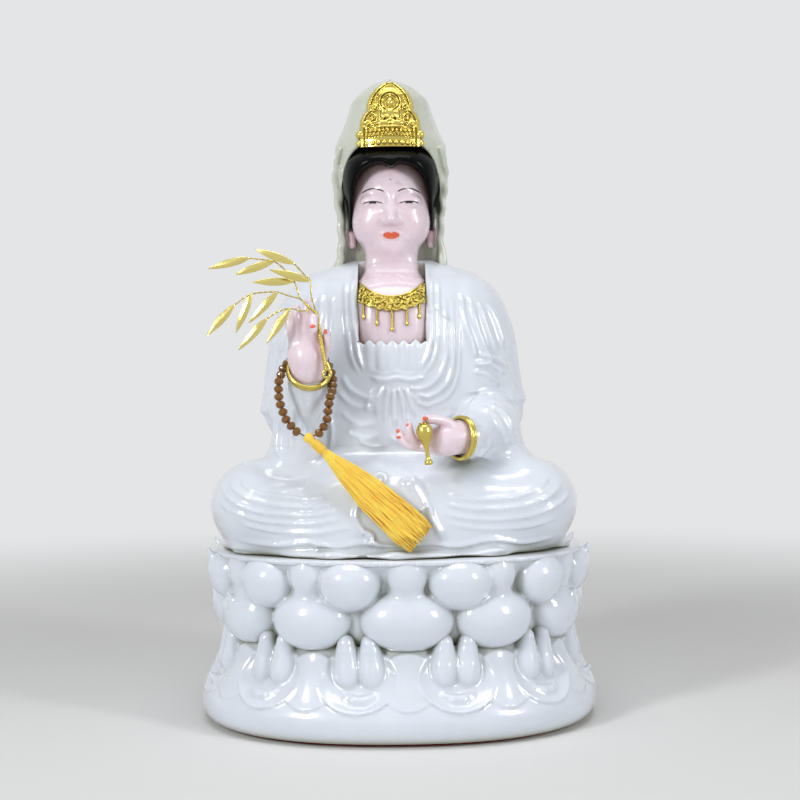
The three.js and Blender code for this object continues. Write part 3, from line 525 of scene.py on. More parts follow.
def on_plan(along, out, height):
    """A point at a distance along the plan oval from its front, a distance out of it, and a height."""
    along, out, height = np.broadcast_arrays(along, out, height)
    at, ahead = plan_at(along)
    outward = np.stack([ahead[..., 1], -ahead[..., 0]], -1)
    return np.concatenate([at + outward * out[..., None], height[..., None]], -1)


def unrolled(points):
    """The other way round: the nearest place along the plan, the distance out of it, and the height."""
    angle = np.arctan2(points[:, 0] / THRONE_HALF_WIDTH, -points[:, 1] / THRONE_HALF_DEPTH)
    along = np.interp(np.mod(angle, 2 * pi), plan_angle_steps, plan_length)
    for _ in range(4):
        at, ahead = plan_at(along)
        away = points[:, :2] - at
        along = along + (away * ahead).sum(axis=1)
    return np.stack([along, away[:, 0] * ahead[:, 1] - away[:, 1] * ahead[:, 0], points[:, 2]], -1)


def from_middle(along, middle):
    """Distance along the plan from a petal's middle, the short way round."""
    return np.mod(along - middle + GIRTH / 2, GIRTH) - GIRTH / 2


# No two petals are cut quite alike: how far each stands from its even place, in millimetres
HAND_DRIFT = {"upper": {-2: -3.6, -1: -4.2, 0: 2.8, 1: 2.6}, "lower": {-1: -2.4}}


def signed_number(index):
    """A petal's number counted from the front, negative on the figure's right."""
    return index - PETALS if index > PETALS / 2 else index


def with_petals(whole, place, petal, shift, soft, row=None):
    """Melts a row of petals into a field. A petal is a field of (across, out, height) and its number."""
    for index in range(PETALS):
        signed = signed_number(index)
        drift = HAND_DRIFT[row].get(signed, 0.9 * sin(4.1 * signed)) if row else 0
        local = place.copy()
        local[:, 0] = from_middle(place[:, 0], (index + shift + PETAL_TURN_SHARE) * PITCH + drift)
        near = np.flatnonzero(np.abs(local[:, 0]) < 0.7 * PITCH)
        whole[near] = blended(whole[near], petal(local[near], signed), soft)
    return whole


print("girth of the throne, mm:", round(GIRTH, 1), "petal pitch:", round(PITCH, 1))

# %% [markdown]
# The base is one smooth wall that swells at the plinth and leans in above it. Its petals hang down: each
# is a shallow leaf with a raised edge, two long lobes side by side on it, and a curled lip at its foot.

# %% The base
THRONE_BOTTOM = 1.5
SKIRT_TOP = 40.8
SHELL = 24
THRONE_CELL = 0.92
BASE_WALL = [(1.5, -1.6), (2.4, 0.2), (4.6, 1.7), (8.5, 2.7), (12, 2.6), (14.8, 1.6), (17, 0.3),
             (19.5, -1.3), (23, -3.4), (28, -6.6), (33, -9.7), (38, -12.4), (40.8, -13.8)]
LOBE_RUN = [(-11.2, 42.4), (-11.8, 38.6), (-12.0, 34.4), (-11.6, 30.8), (-10.8, 28.6)]
LOBE_RADII = (4.3, 5.4, 6.3, 6.8, 6.5)
LOBE_SPACING = 5.7
LIP_RUN = [(-8, -6.4, 22.6), (-5.6, -4.4, 20.6), (-2.2, -3.2, 19.4), (2.2, -3.2, 19.4),
           (5.6, -4.4, 20.6), (8, -6.4, 22.6)]
LIP_RADII = (0.8, 1.7, 2.2, 2.2, 1.7, 0.8)
base_wall = smooth_run(BASE_WALL, 160)


def spread_from(across, height, half_width, foot, half_height):
    """0 in the middle of a leaf, and 1 at its outline."""
    return np.hypot(across / half_width, (height - foot - half_height) / half_height)


def dished(spread, lift, hollow, under):
    """A leaf with a hollow floor and a raised edge, over what is under it."""
    edge = smooth_step((1 - spread) / 0.1)
    return (lift * spread**5 - hollow * np.clip(1 - spread**3, 0, 1)) * edge + under * (1 - edge)


def from_nearest(along, shift):
    """Distance along the plan from the middle of the nearest petal of a row."""
    across = along - (shift + PETAL_TURN_SHARE) * PITCH
    return across - np.round(across / PITCH) * PITCH


def hanging_petal(local, signed):
    """Two lobes and the lip under them. Each pair leans a little its own way."""
    local = local - np.outer(local[:, 2] - 34, (0.07 * sin(2.3 * signed + 0.6), 0, 0))
    lobes = [limb(local, [(side * LOBE_SPACING, out, height) for out, height in LOBE_RUN], LOBE_RADII, 1)
             for side in (-1, 1)]
    lip = limb(local, LIP_RUN, LIP_RADII, 1.2)
    if signed > 1 or signed < -2:
        lip = blended(lip, bone(local, (0, -2.2, 20.4), (0, 0.9, 23.4), 2, 0.4), 1.5)
    return blended(blended(*lobes, 0.7), lip, 2)


def base_field(points):
    """The base: its wall raised by the leaves, with the hanging petals on it, and hollow inside."""
    place = unrolled(points)
    along, out, height = place.T
    front, back = from_nearest(along, 0.5), from_nearest(along, 0)
    swell = 2.6 * np.clip(1 - spread_from(back, height, 11, 14, 18) ** 2, 0, 1) ** 1.3
    under = dished(spread_from(back, height, 14, 15.2, 12), 1.3, 0, 0) + swell
    leaves = dished(spread_from(front, height, 18.6, 14.4, 13.8), 3.0, 2.2, under)
    wall = 0.85 * (out - np.interp(height, *base_wall.T) - leaves)
    wall = np.maximum(wall, np.maximum(THRONE_BOTTOM - height, height - SKIRT_TOP))
    return np.maximum(with_petals(wall, place, hanging_petal, 0.5, 1.3), -out - SHELL)


Solid().add(*carve(base_field, (-96, -84, 0), (96, 84, 49), THRONE_CELL)).piece(
    "throne_base_carved", jade, "white_jade", "figure", "throne_base")

# %% [markdown]
# The seat has two rows of full petals: a round belly with a small swelling above it, and a tall egg
# between each two. At the sides their tips curl outward. The rim is reeded, in fine upright lines.

# %% The lotus seat
LOTUS_BOTTOM = 41.1
LOTUS_TOP = 79.0
EGG_HEIGHT = 69.6
LOTUS_WALL = [(41.1, -15), (46, -13), (54, -12.4), (62, -12), (68, -10.8), (73, -8.6), (76.5, -5.4),
              (79, -5)]
BELLY_FOOT = 37
BASE_GAP = 0.4
RIM_INSET = 4
RIM_HEIGHT = 2.5
REEDS = 440
REED_DEPTH = 0.28
TIP_TOP = 84
lotus_wall = smooth_run(LOTUS_WALL, 80)


def hand_width(signed):
    """Each petal is cut a little wider or narrower than the next."""
    return 1 + 0.03 * sin(2.7 * signed + 1.2)


def belly_petal(local, signed):
    """A round belly and the small swelling above it."""
    belly = egg(local, (0, -14.2, 52.2), (22.2 * hand_width(signed), 12.5, 13.6))
    whole = blended(belly, egg(local, (0, -10.8, 72.6), (9.8, 7.7, 10.4)), 4)
    if abs(signed) > 1:
        whole = blended(whole, bone(local, (0, -4.6, 57.6), (0, -1.8, 62.2), 2.6, 0.5), 2)
    return whole


def egg_petal(local, signed):
    """An egg with a longer lower half."""
    below = (local[:, 2:] < EGG_HEIGHT).astype(float)
    sizes = np.array([15.7 * hand_width(signed), 12.2, 10.8]) + below * (0, 0, 2.6)
    whole = egg(local, (0, -11.7, EGG_HEIGHT), sizes)
    if signed > 1 or signed < -2:
        whole = blended(whole, bone(local, (0, -2.6, 74.6), (0, 0.6, 80.2), 2.6, 0.45), 1.6)
    return whole


def lotus_field(points):
    """The seat: its wall with both rows of petals, cut level at the top and lying over the base below."""
    place = unrolled(points)
    out, height = place[:, 1], place[:, 2]
    whole = 0.9 * (out - np.interp(height, *lotus_wall.T))
    whole = with_petals(whole, place, belly_petal, 0, 1.2, "lower")
    whole = with_petals(whole, place, egg_petal, 0.5, 0.9, "upper")
    flat = np.where(out > -2.2, height - TIP_TOP, height - LOTUS_TOP + 0.4)
    over_base = np.maximum(np.interp(height, *base_wall.T) + BASE_GAP - out, BELLY_FOOT - height)
    foot = np.minimum(LOTUS_BOTTOM - height, over_base)
    return np.maximum(np.maximum(whole, -out - SHELL), np.maximum(foot, flat))


def reeded_rim():
    """Rings of the rim, from rows of (out, up, share of the reeds' depth)."""
    around = np.linspace(0, GIRTH, REEDS * 4, endpoint=False)[None, :]
    reed = REED_DEPTH * np.abs(np.sin(around / GIRTH * pi * REEDS))
    rows = [(-8, -RIM_HEIGHT, 0), (-1, -RIM_HEIGHT, 0), (-0.3, -RIM_HEIGHT + 0.3, 1),
            (0, -RIM_HEIGHT / 2, 1), (-0.1, -0.5, 1), (-0.7, 0, 0), (-12, 0, 0)]
    out, height, share = np.array(rows, float).T[:, :, None]
    return on_plan(around, -RIM_INSET + out + share * reed, LOTUS_TOP + height + 0 * around)


seat_body = Solid().add(*carve(lotus_field, (-96, -84, 36), (96, 84, 83), THRONE_CELL))
seat_body.loft(reeded_rim()).piece("throne_lotus_carved", jade, "white_jade", "figure", "throne_lotus")

# %% [markdown]
# ## Folds
# A carved fold is a ridge or a groove along a line. `Fold` lines are drawn on the front or the back of the
# figure, as runs of (across, up) places, and a point of the skin near a line moves out along its own
# normal.


# %% Fold lines
# One number makes all folds higher and narrower
CRISP = 1.2


def fold_rise(points, outward, folds, toward=-1):
    """How far each point rises, from folds given as (run, width, height). Toward is -1 on the front."""
    facing = smooth_step(toward * outward[:, 1] * 2.2 + 0.15)
    flat, rise = points[:, [0, 2]], np.zeros(len(points))
    for run, width, height in folds:
        run = smooth_run(run, 5 * len(run))
        beside = ((flat > run.min(0) - 3 * width) & (flat < run.max(0) + 3 * width)).all(1)
        near = np.flatnonzero(beside & (facing > 0))
        spot, best, place = flat[near], np.full(len(near), 1e9), np.zeros(len(near))
        for index in range(len(run) - 1):
            step = run[index + 1] - run[index]
            share = np.clip((spot - run[index]) @ step / (step @ step), 0, 1)
            distance = np.linalg.norm(spot - run[index] - share[:, None] * step, axis=1)
            closer = distance < best
            best[closer], place[closer] = distance[closer], (index + share[closer]) / (len(run) - 1)
        taper = smooth_step(np.minimum(place, 1 - place) / 0.16 + 0.1)
        rise[near] += CRISP * height * np.exp(-((best * CRISP / width) ** 2)) * taper * facing[near]
    return rise


def folded(points, field, folds, back_folds=(), extra=None):
    """Points moved out along their normals by the folds, and by a last rise of their own."""
    outward = unit(slopes(points, field))
    rise = fold_rise(points, outward, folds) + fold_rise(points, outward, back_folds, 1)
    if extra is not None:
        rise = rise + extra(points, outward)
    return points + outward * rise[:, None]


# %% [markdown]
# ## The robe
# The legs are crossed under a wide robe, so the lap is a flat oval with a plump knee at each end and a hem
# that spreads on the seat. Over it stands the trunk in a cloak. The cloak's hem stands proud of the
# sleeves, and hangs with a small point at each side.

# %% The robe's body
CENTRE_X = -1.5
SEAT = 79.3
LAP_ROWS = [(79.3, 74.4, 55.7, -5.8), (82.9, 79, 57.4, -5.8), (92.8, 81.4, 58, -5.8), (104, 80, 56.3, -4.6),
            (113, 75, 52.2, -2.9), (118.9, 66, 45.4, -1.2), (123.4, 54, 39, 1.2), (128, 40, 33, 3)]
TORSO_ROWS = [(105.6, 55.8, 39, 1.6), (129.3, 56.6, 39.6, 1.6), (137.9, 57.0, 39.4, 1.2),
              (143.2, 58.4, 39, 1.2), (145.6, 61.6, 39, 1.2), (151.8, 60.2, 39, 1.2), (160.4, 58.6, 39, 0.8),
              (176.6, 56.4, 38.2, 0.8), (191.6, 52.2, 35.9, 2), (200.2, 46.8, 32.4, 3.1),
              (205.6, 40.5, 27.3, 4.7), (209.9, 32, 22.6, 5.9), (213.1, 22.9, 16.4, 6.6)]
KNEE_ASIDE = 59.4
KNEE_SIZES = (24.3, 32.5, 21)
SEAM_HEIGHT = 127
RIGHT_WRIST = np.array([-38.07, -55.85, 159.58])
LEFT_WRIST = np.array([28.4, -54.98, 130.55])
RIGHT_ELBOW = np.array([-47.5, -6.6, 143.1])
LEFT_ELBOW = np.array([45.1, -6.6, 143.1])
CHEST_HALF_WIDTH = 15.6
CHEST_FOOT = 172.6
CHEST_DEPTH = 10
FLUTE_PITCH = 5.2
HEM_DROP = 4.6

lap_stack = oval_stack(LAP_ROWS, CENTRE_X, 2.5)
torso_stack = oval_stack(TORSO_ROWS, CENTRE_X, 2.4)


def plan_angle(points):
    """The angle round the figure, 0 in front."""
    return np.arctan2(points[:, 0] - CENTRE_X, -points[:, 1])


print("lap and trunk, rows:", len(LAP_ROWS), len(TORSO_ROWS))


# %% Lap and knees
def lap_field(points):
    """The crossed legs, two knees and the wavy hem on the seat."""
    whole = lap_stack(points)
    for side in (-1, 1):
        knee = egg(points, (CENTRE_X + side * KNEE_ASIDE, -27.5, 100.4), KNEE_SIZES)
        whole = blended(whole, knee, 7)
    angle = plan_angle(points)
    wave = np.sin(angle * 11 + 0.6) + 0.6 * np.sin(angle * 19 + 2)
    hem = egg(points, (CENTRE_X, -6, 80.4), (82, 63, 5)) - 0.9 * wave
    hem = np.maximum(hem, np.maximum(SEAT - points[:, 2], points[:, 2] - 82.0 - 0.5 * wave))
    return np.maximum(blended(whole, hem, 2.5), SEAT - points[:, 2])


# %% Trunk and sleeves
def chest_opening(points):
    """The open front of the robe, with a scalloped lower edge."""
    across = np.abs(points[:, 0] - CENTRE_X)
    scallop = 1.3 * np.abs(np.cos(pi * (points[:, 0] - CENTRE_X) / FLUTE_PITCH))
    outline = np.maximum(across - CHEST_HALF_WIDTH, CHEST_FOOT + scallop - points[:, 2])
    return np.maximum(outline, points[:, 1] + CHEST_DEPTH)


def sag_of(x):
    """The cloak's hem hangs lower on the figure's right, from 0 at its left side to 1."""
    return np.clip((58 - x) / 120, 0, 1)


def torso_field(points):
    """The trunk in its cloak, and two sleeves that end at the wrists."""
    x, y, z = points.T
    hem_height = 145.5 - HEM_DROP * sag_of(x) + 4.5 * smooth_step((52 - np.abs(x - CENTRE_X)) / 14)
    over_arm = smooth_step((np.abs(x - CENTRE_X) - 30) / 8)
    cloak = 1.5 * smooth_step((z - hem_height) / 1.6) * over_arm
    drop = HEM_DROP * sag_of(x) * np.exp(-(((z - 144) / 11) ** 2))
    body = torso_stack(points + drop[:, None] * (0, 0, 1)) - cloak
    right = limb(points, [RIGHT_ELBOW, (-43, -36, 148), RIGHT_WRIST + (0, 4.5, -3.5)], [15, 12, 8.6], 3)
    right = blended(right, limb(points, [RIGHT_WRIST + (0, 3, -5), (-38.6, -51, 144), (-38.9, -47, 133)],
                                [8.4, 4.8, 2.2], 3), 2)
    right = blended(right, bone(points, (-43, -34, 148), (-46, -34, 116), 10, 13), 6)
    left = limb(points, [LEFT_ELBOW, (40, -32, 134), LEFT_WRIST + (3.8, 5.2, -0.4)], [15, 13, 9.3], 4)
    left = blended(left, bone(points, (42, -30, 132), (47, -33, 114), 13, 14), 6)
    whole = blended(body, blended(left, right, 1), 3.5)
    return without(whole, chest_opening(points), 1.2)


# %% [markdown]
# The fold lines follow the photograph. Every run is (across, up) in millimetres, seen from the front:
# lapel pipings, the looped scarf on the left breast, the tie with its pleats, the shoulder pleats and the
# creases in the crook of the arm. On the lap, thin ridges sweep from the middle round each knee.

# %% Fold lines of the robe
TORSO_FOLDS = [
    ([(-19.5, 205), (-19.5, 192.5), (-19, 184.5), (-18, 176.5), (-17, 168), (-14, 159.5)], 1.1, 1.3),
    ([(-22.6, 204), (-22.4, 192.5), (-22, 184.5), (-21, 174.5), (-19.8, 166.5), (-16.5, 159)], 1.0, 1.0),
    ([(16.8, 205), (16.4, 192.5), (16.4, 184), (16, 174.5), (14.5, 167.5), (11, 160.5)], 1.1, 1.3),
    ([(19.8, 204), (19.4, 191), (19.4, 181), (18.8, 172), (16.8, 164.5), (12, 158)], 1.0, 1.0),
    ([(22.8, 196), (22.8, 176), (22.5, 165), (18.5, 156.5), (12, 152.6), (5, 153)], 1.2, 1.1),
    ([(26, 196), (26, 169.5), (25, 159), (21, 152.4), (14.5, 148.8), (7, 149.6)], 1.2, 1.2),
    ([(28.6, 190), (28.8, 170), (28, 159), (24, 149.5), (16, 145.4), (8, 145.8)], 1.0, 0.8),
    ([(17.6, 190), (20.5, 187), (25, 182.6)], 0.9, 0.8),
    ([(7, 153.5), (11, 150), (16, 147)], 0.8, 0.8), ([(6, 151), (10.5, 146), (15.5, 143)], 0.8, 0.8),
    ([(-4.4, 154), (-7.4, 148.4), (-9.4, 140.5)], 0.9, 1.1),
    ([(-2.8, 153.4), (-4.2, 146.4), (-5, 137)], 0.9, 1.3),
    ([(-0.6, 153.2), (-0.8, 146.4), (-0.4, 135)], 0.9, 1.4),
    ([(1.6, 153.4), (3, 146.8), (4.4, 136.6)], 0.9, 1.3),
    ([(3.4, 153.8), (6.2, 148), (8.6, 139.4)], 0.9, 1.1),
    ([(-9, 153), (-12, 148.5), (-13.6, 142)], 0.9, 0.8),
    ([(-17, 129.4), (-11, 126.4), (-4, 127)], 1.2, 0.9), ([(-3, 131), (3, 128), (9, 129)], 1.2, 0.9),
    ([(-12, 157.6), (-5, 156.6), (1, 157.4), (7, 156.4), (13, 158)], 1.5, 1.5),
    ([(-11, 160.4), (-5, 159.2), (0, 160.2), (6, 159), (12, 160.8)], 0.8, 0.7),
    ([(-24.5, 159), (-21, 153), (-15.5, 149.5), (-9, 148)], 1.3, 0.9),
    ([(-26.5, 152), (-20, 145.5), (-11, 144)], 1.3, 0.8), ([(-25, 142), (-17, 136.5), (-9, 137)], 1.5, 0.8),
    ([(-22, 133), (-14, 130), (-7, 132)], 1.5, 0.7), ([(26, 142), (18, 136), (9, 134)], 1.4, 0.7),
    ([(30, 196), (31.4, 185), (34.5, 172.5), (36.5, 166)], 1.3, 1.4),
    ([(33.8, 194.5), (36.8, 181), (41.5, 168), (43, 163)], 1.3, 1.2),
    ([(38, 192.5), (41.6, 180.5), (46, 168.5)], 1.3, 1.2),
    ([(42.5, 191), (46.5, 182), (49.8, 171)], 1.2, 1.0),
    ([(-33.4, 196), (-34.4, 185), (-37.5, 172.5), (-39.5, 166)], 1.3, 1.3),
    ([(-37.2, 194.5), (-40.2, 181), (-44.5, 168), (-46, 163)], 1.3, 1.2),
    ([(-41, 192.5), (-44.6, 180.5), (-49, 168.5)], 1.3, 1.1),
    ([(-45.5, 190), (-50, 179), (-53, 169)], 1.2, 0.9),
    ([(-28.6, 195), (-28.8, 184.5), (-30, 168)], 1.1, 0.9),
    ([(35, 163), (43.5, 163), (50, 158.5)], 1.1, 1.2), ([(34.5, 159.6), (41, 158.6), (48, 153.6)], 1.1, 1.1),
    ([(38, 167.6), (46, 165.5), (52, 161.5)], 1.0, 0.9), ([(-38, 163), (-46, 162), (-52.6, 158)], 1.1, 1.0),
    ([(32, 141), (36, 147), (41.5, 150), (48.5, 148.8), (54.5, 145)], 1.0, 0.9),
    ([(38, 144), (44, 140), (48, 132), (49, 124)], 1.3, 0.8), ([(42, 145), (49, 140), (53, 132)], 1.3, 0.8),
    ([(33, 124.5), (42, 121), (50, 122)], 1.2, 0.9), ([(-50, 143), (-53, 134), (-53, 122)], 1.3, 0.8),
    ([(-31, 144), (-29, 134), (-30, 124)], 1.2, 0.9), ([(-45.5, 146), (-46.6, 134), (-47, 124)], 1.2, 0.8),
]
TORSO_BACK_FOLDS = [
    ([(-38, 196), (-26, 176), (-4, 164), (22, 172), (36, 194)], 1.6, 1.1),
    ([(-44, 184), (-30, 162), (-4, 149), (26, 158), (42, 182)], 1.7, 1.1),
    ([(-48, 170), (-32, 146), (-4, 133), (28, 142), (46, 168)], 1.7, 1.1),
    ([(-30, 203), (-18, 190), (-3, 183), (14, 188), (28, 202)], 1.5, 0.9),
    ([(-50, 152), (-34, 130), (-3, 119), (30, 128), (48, 150)], 1.6, 0.9),
]
LAP_FOLDS = [
    ([(-26, 106.5), (-38.5, 104.6), (-53, 106), (-64, 109), (-70, 114)], 1.0, 0.9),
    ([(-24, 103.5), (-38.5, 101.2), (-55, 102.6), (-67.5, 106.6), (-75, 112)], 1.0, 1.0),
    ([(-22, 100.6), (-39.5, 97.8), (-58.5, 99.2), (-71, 103.6), (-78.5, 109)], 1.0, 1.0),
    ([(-20.5, 97.4), (-38.5, 94.2), (-57.5, 95.4), (-72, 99.6), (-79, 104)], 1.0, 0.9),
    ([(-17.5, 94), (-33, 90.4), (-53, 90.8), (-70, 95)], 1.0, 0.8),
    ([(20.5, 106), (34, 103.6), (51, 104.6), (62, 108.5), (68, 113.5)], 1.0, 0.9),
    ([(18.5, 102.6), (35, 99.6), (53, 100.6), (66.5, 105), (73.5, 110.5)], 1.0, 1.0),
    ([(17.5, 98.6), (36, 95.2), (54, 96), (70, 101), (77, 107)], 1.0, 1.0),
    ([(19, 94.6), (38, 91.2), (58, 92), (73, 97)], 1.0, 0.8),
    ([(-74, 86.4), (-53, 84.5), (-37.5, 86), (-26, 84), (-15, 86), (0, 84), (14, 85.6), (26, 84), (40, 86.4),
      (56, 84.5), (72, 86.4)], 1.3, 1.2),
    ([(-9, 116), (-12, 108), (-8, 98), (2, 90), (10, 84)], 1.6, 1.2),
    ([(4, 116), (12, 106), (15, 96), (20, 87)], 1.6, 1.1),
    ([(-14, 107), (-18, 98), (-14, 90), (-6, 84)], 1.5, 1.0),
    ([(-17, 88), (-14.5, 91), (-11, 89.6), (-11.4, 86.4), (-14, 86.4)], 1.0, 1.4),
    ([(-36, 83), (-33.5, 85.6), (-30, 84.6), (-31, 82.4)], 0.9, 1.2),
    ([(-10.5, 112), (-8, 115), (-5, 113.6), (-5.6, 110.8)], 0.9, 1.1),
    ([(0.5, 109), (3, 112), (6, 110.6), (5.4, 107.8)], 0.9, 1.1),
    ([(10, 98.4), (12, 101), (14.6, 99.6), (13.6, 97.4)], 0.9, 1.1),
]
THIGH_HOLLOWS = [(-49.5, 115, 18, 4.4), (50, 114.6, 18, 4.4)]


# %% Hollows, pleats and flutes
def lap_extra(points, outward):
    """The dished thighs, and pleats round the back and the sides of the lap."""
    rise = np.zeros(len(points))
    for x, z, wide, tall in THIGH_HOLLOWS:
        near = np.exp(-((points[:, 0] - x) / wide) ** 4 - ((points[:, 2] - z) / tall) ** 2)
        rise -= 2.1 * near * smooth_step(-outward[:, 1] + 0.5)
    angle = plan_angle(points)
    behind = smooth_step((np.abs(angle) - 1.9) / 0.4) * smooth_step((118 - points[:, 2]) / 12)
    return rise + 0.8 * behind * np.sin(angle * 21 + 0.05 * points[:, 2])


def torso_extra(points, outward):
    """The fluted cloth under the opening, and long pleats down the sides of the cloak."""
    x, y, z = points.T
    across = x - CENTRE_X
    cloth = smooth_step((CHEST_HALF_WIDTH - 1.5 - np.abs(across)) / 2) * smooth_step((z - 159.5) / 3)
    cloth = cloth * smooth_step((CHEST_FOOT + 3 - z) / 2) * smooth_step(-outward[:, 1] * 2)
    flutes = cloth * (1.1 * np.abs(np.cos(pi * across / FLUTE_PITCH)) - 0.1)
    beside = smooth_step((np.abs(outward[:, 0]) - 0.45) / 0.3)
    beside = beside * smooth_step((196 - z) / 16) * smooth_step((z - 112) / 8)
    return flutes + 0.55 * beside * np.sin(y * 0.62 + 0.02 * z)


# %% The robe in two pieces
def robe_field(points):
    """Lap and trunk in one, with the cloth running softly from one to the other."""
    return blended(lap_field(points), torso_field(points), 7)


def robe_below(points):
    """The robe up to the seam. Beyond it the skin dips under the upper piece."""
    above = points[:, 2] - SEAM_HEIGHT
    return np.maximum(robe_field(points) + 0.5 * smooth_step(above / 2), above - 2)


def robe_above(points):
    """The robe down to the same seam."""
    below = SEAM_HEIGHT - points[:, 2]
    return np.maximum(robe_field(points) + 0.5 * smooth_step(below / 2), below - 2)


def robe_extra(points, outward):
    """What both pieces of the robe add to their fold lines."""
    return lap_extra(points, outward) + torso_extra(points, outward)


def carved_piece(name, field, low, high, step, finish, slot, body, nodes, folds=(), back=(), extra=None):
    """Carves a field between two corners in cells of one size, folds its skin, and makes it a piece."""
    points, faces = carve(field, low, high, step)
    if len(folds) or extra:
        points = folded(points, field, folds, back, extra)
    return Solid().add(points, faces).piece(name, finish, slot, body, *nodes)


for name, field, low, high, cell in (("robe_lap", robe_below, (-90, -76, 77), (88, 62, 130), 0.95),
                                     ("robe_trunk", robe_above, (-68, -72, 124), (66, 46, 216), 0.8)):
    carved_piece(name, field, low, high, cell, jade, "white_jade", "figure", ["robed_body"],
                 TORSO_FOLDS + LAP_FOLDS, TORSO_BACK_FOLDS, robe_extra)

# %% [markdown]
# ## The skin
# Head, chest and hands are one kind of pink-tinted stone with a softer polish, so more light goes into it
# and its gloss is wider. Colour could be painted onto the points. Here it is worked out from the place in
# millimetres, so brows, closed lids and lips stay sharp at any mesh size.

# %% Pink stone and its paint
SKIN_LIGHT = colour(238, 224, 234)
SKIN_ROSE = colour(233, 212, 222)
# A deeper pink: the cheeks' blush paint, and the painted shade in narrow places
SKIN_BLUSH_AND_PAINTED_SHADE = colour(216, 172, 168)
INK = colour(26, 20, 20)
LIP_RED = colour(224, 100, 58)
BROW_MIDDLE = 8.4
EYE_HEIGHT = 238.9
BROW_HEIGHT = 245.0
CHEEK_HEIGHT = 231
CHEEK_ASIDE = 11


# %% The painted face
def painted_face(finish, stone):
    """Brows, lowered lids and lips, drawn on the front of the head."""
    x, y, z = finish.place()
    aside = abs(x - CENTRE_X)
    across = aside - BROW_MIDDLE
    front = y.below(-9, 1) * (212 - z).below(0, 1)
    brow = abs(z - (BROW_HEIGHT - across * across * 0.06)).below(0.34, 0.13) * abs(across).below(5.2, 0.7)
    lid_line = EYE_HEIGHT - across * across * 0.04
    lash = abs(z - lid_line).below(0.26, 0.12) * abs(across).below(4.5, 0.6)
    iris = abs(across).below(1.7, 0.25) * abs(z - lid_line + 0.45).below(0.5, 0.15)
    dark = brow.most(lash).most(iris) * front
    upper, lower = 224.9 - abs(aside - 1.5) * 0.36, 221.5 + aside * aside * 0.09
    lips = aside.below(3.7, 0.25) * (z - upper).below(0, 0.22) * (lower - z).below(0, 0.22) * front
    cheek = abs(z - CHEEK_HEIGHT).below(3, 7) * abs(aside - CHEEK_ASIDE).below(3, 5)
    blush = finish.mix(cheek * front * 0.22, stone, SKIN_BLUSH_AND_PAINTED_SHADE)
    return finish.mix(dark, finish.mix(lips, blush, LIP_RED), INK)


def skin_finish(name, painted):
    finish = Finish(name, IOR=1.5, Subsurface_Weight=0.4, Subsurface_Scale=0.004, Coat_Weight=0.4,
                    Coat_Roughness=0.1)
    finish.shader.inputs["Subsurface Radius"].default_value = (1.1, 0.8, 0.85)
    clouds = finish.mix(finish.noise(12, 3), SKIN_LIGHT, SKIN_ROSE)
    # Painted shade: ambient occlusion darkens narrow places toward a deeper pink
    whole = finish.mix(finish.crevice(6).below(0.5, 0.45) * 0.75, clouds, SKIN_BLUSH_AND_PAINTED_SHADE)
    finish.bump(finish.noise(3, 2), 0.03)
    if painted:
        whole = painted_face(finish, whole)
    return finish.surface(Base_Color=whole, Roughness=finish.noise(5, 2) * 0.1 + 0.22)


skin = skin_finish("pink_stone", False)
face_skin = skin_finish("pink_stone_painted", True)
print("finishes:", skin.material.name, face_skin.material.name)

# %% [markdown]
# ## Head and chest
# The face is a plain, calm one, built on the drawing-book rule: eyes at half the head's height, and brow,
# nose and mouth on equal thirds. It is a stack of eggs melted together: skull, jaw, chin, cheeks, lids and
# lips.

# %% Head and chest
CHEST_ROWS = [(166, 13, 17.6, -15.1), (172, 16.6, 22, -15), (179.2, 18, 23.5, -14.9),
              (189.7, 18.4, 22.8, -14.4), (197.6, 17.6, 20.6, -12.5), (202.9, 15.4, 16.8, -10.1),
              (206.6, 13.3, 12.4, -7.9), (211, 12.6, 11.2, -7.4), (218.7, 12.2, 10.6, -7)]
CHEST_POWER = 3.4
chest_stack = oval_stack(CHEST_ROWS, CENTRE_X, CHEST_POWER)
NECK_RINGS = [200.5, 206, 211]
EAR_RUN = [(20.2, 1.5, 244.5), (21.0, 3, 240), (19.8, 1.5, 232), (19.2, -1, 226), (18.8, -2, 221)]
EAR_RADII = [1.5, 1.9, 1.7, 2.2, 2.0]


# %% The head's field
def head_field(points):
    """Skull, jaw, chin, cheeks, lids, nose, lips and ears, on the rule above."""
    local = points - (CENTRE_X, 0, 0)
    local[:, 0] = np.abs(local[:, 0])
    skull, jaw = egg(local, (0, -1, 243), (19.5, 22.5, 23)), egg(local, (0, -8, 231), (16.6, 14.2, 18.4))
    whole = blended(skull, jaw, 8)
    whole = blended(whole, egg(local, (9.5, -13.5, 228), (7, 7, 7.5)), 6)
    whole = blended(whole, egg(local, (0, -15.8, 217.8), (6.8, 6, 5)), 6)
    whole = without(whole, egg(local, (BROW_MIDDLE, -24.6, 239.6), (6.8, 3.4, 3.6)), 3)
    whole = blended(whole, egg(local, (BROW_MIDDLE, -19.4, 239.2), (5.6, 3.6, 3.4)), 1.4)
    whole = blended(whole, bone(local, (0, -21.8, 240), (0, -25.4, 230.4), 1.5, 2.1), 3)
    whole = blended(whole, egg(local, (2.5, -23.4, 229.8), (1.8, 2.1, 1.6)), 1.4)
    whole = blended(whole, egg(local, (1.8, -21.2, 224.2), (3.0, 2, 1.1)), 0.9)
    whole = blended(whole, egg(local, (0, -20.9, 222.3), (3.8, 2.1, 1.4)), 0.9)
    return blended(whole, limb(local, EAR_RUN, EAR_RADII, 2), 1.5)


def bust_field(points):
    return blended(chest_stack(points), head_field(points), 3)


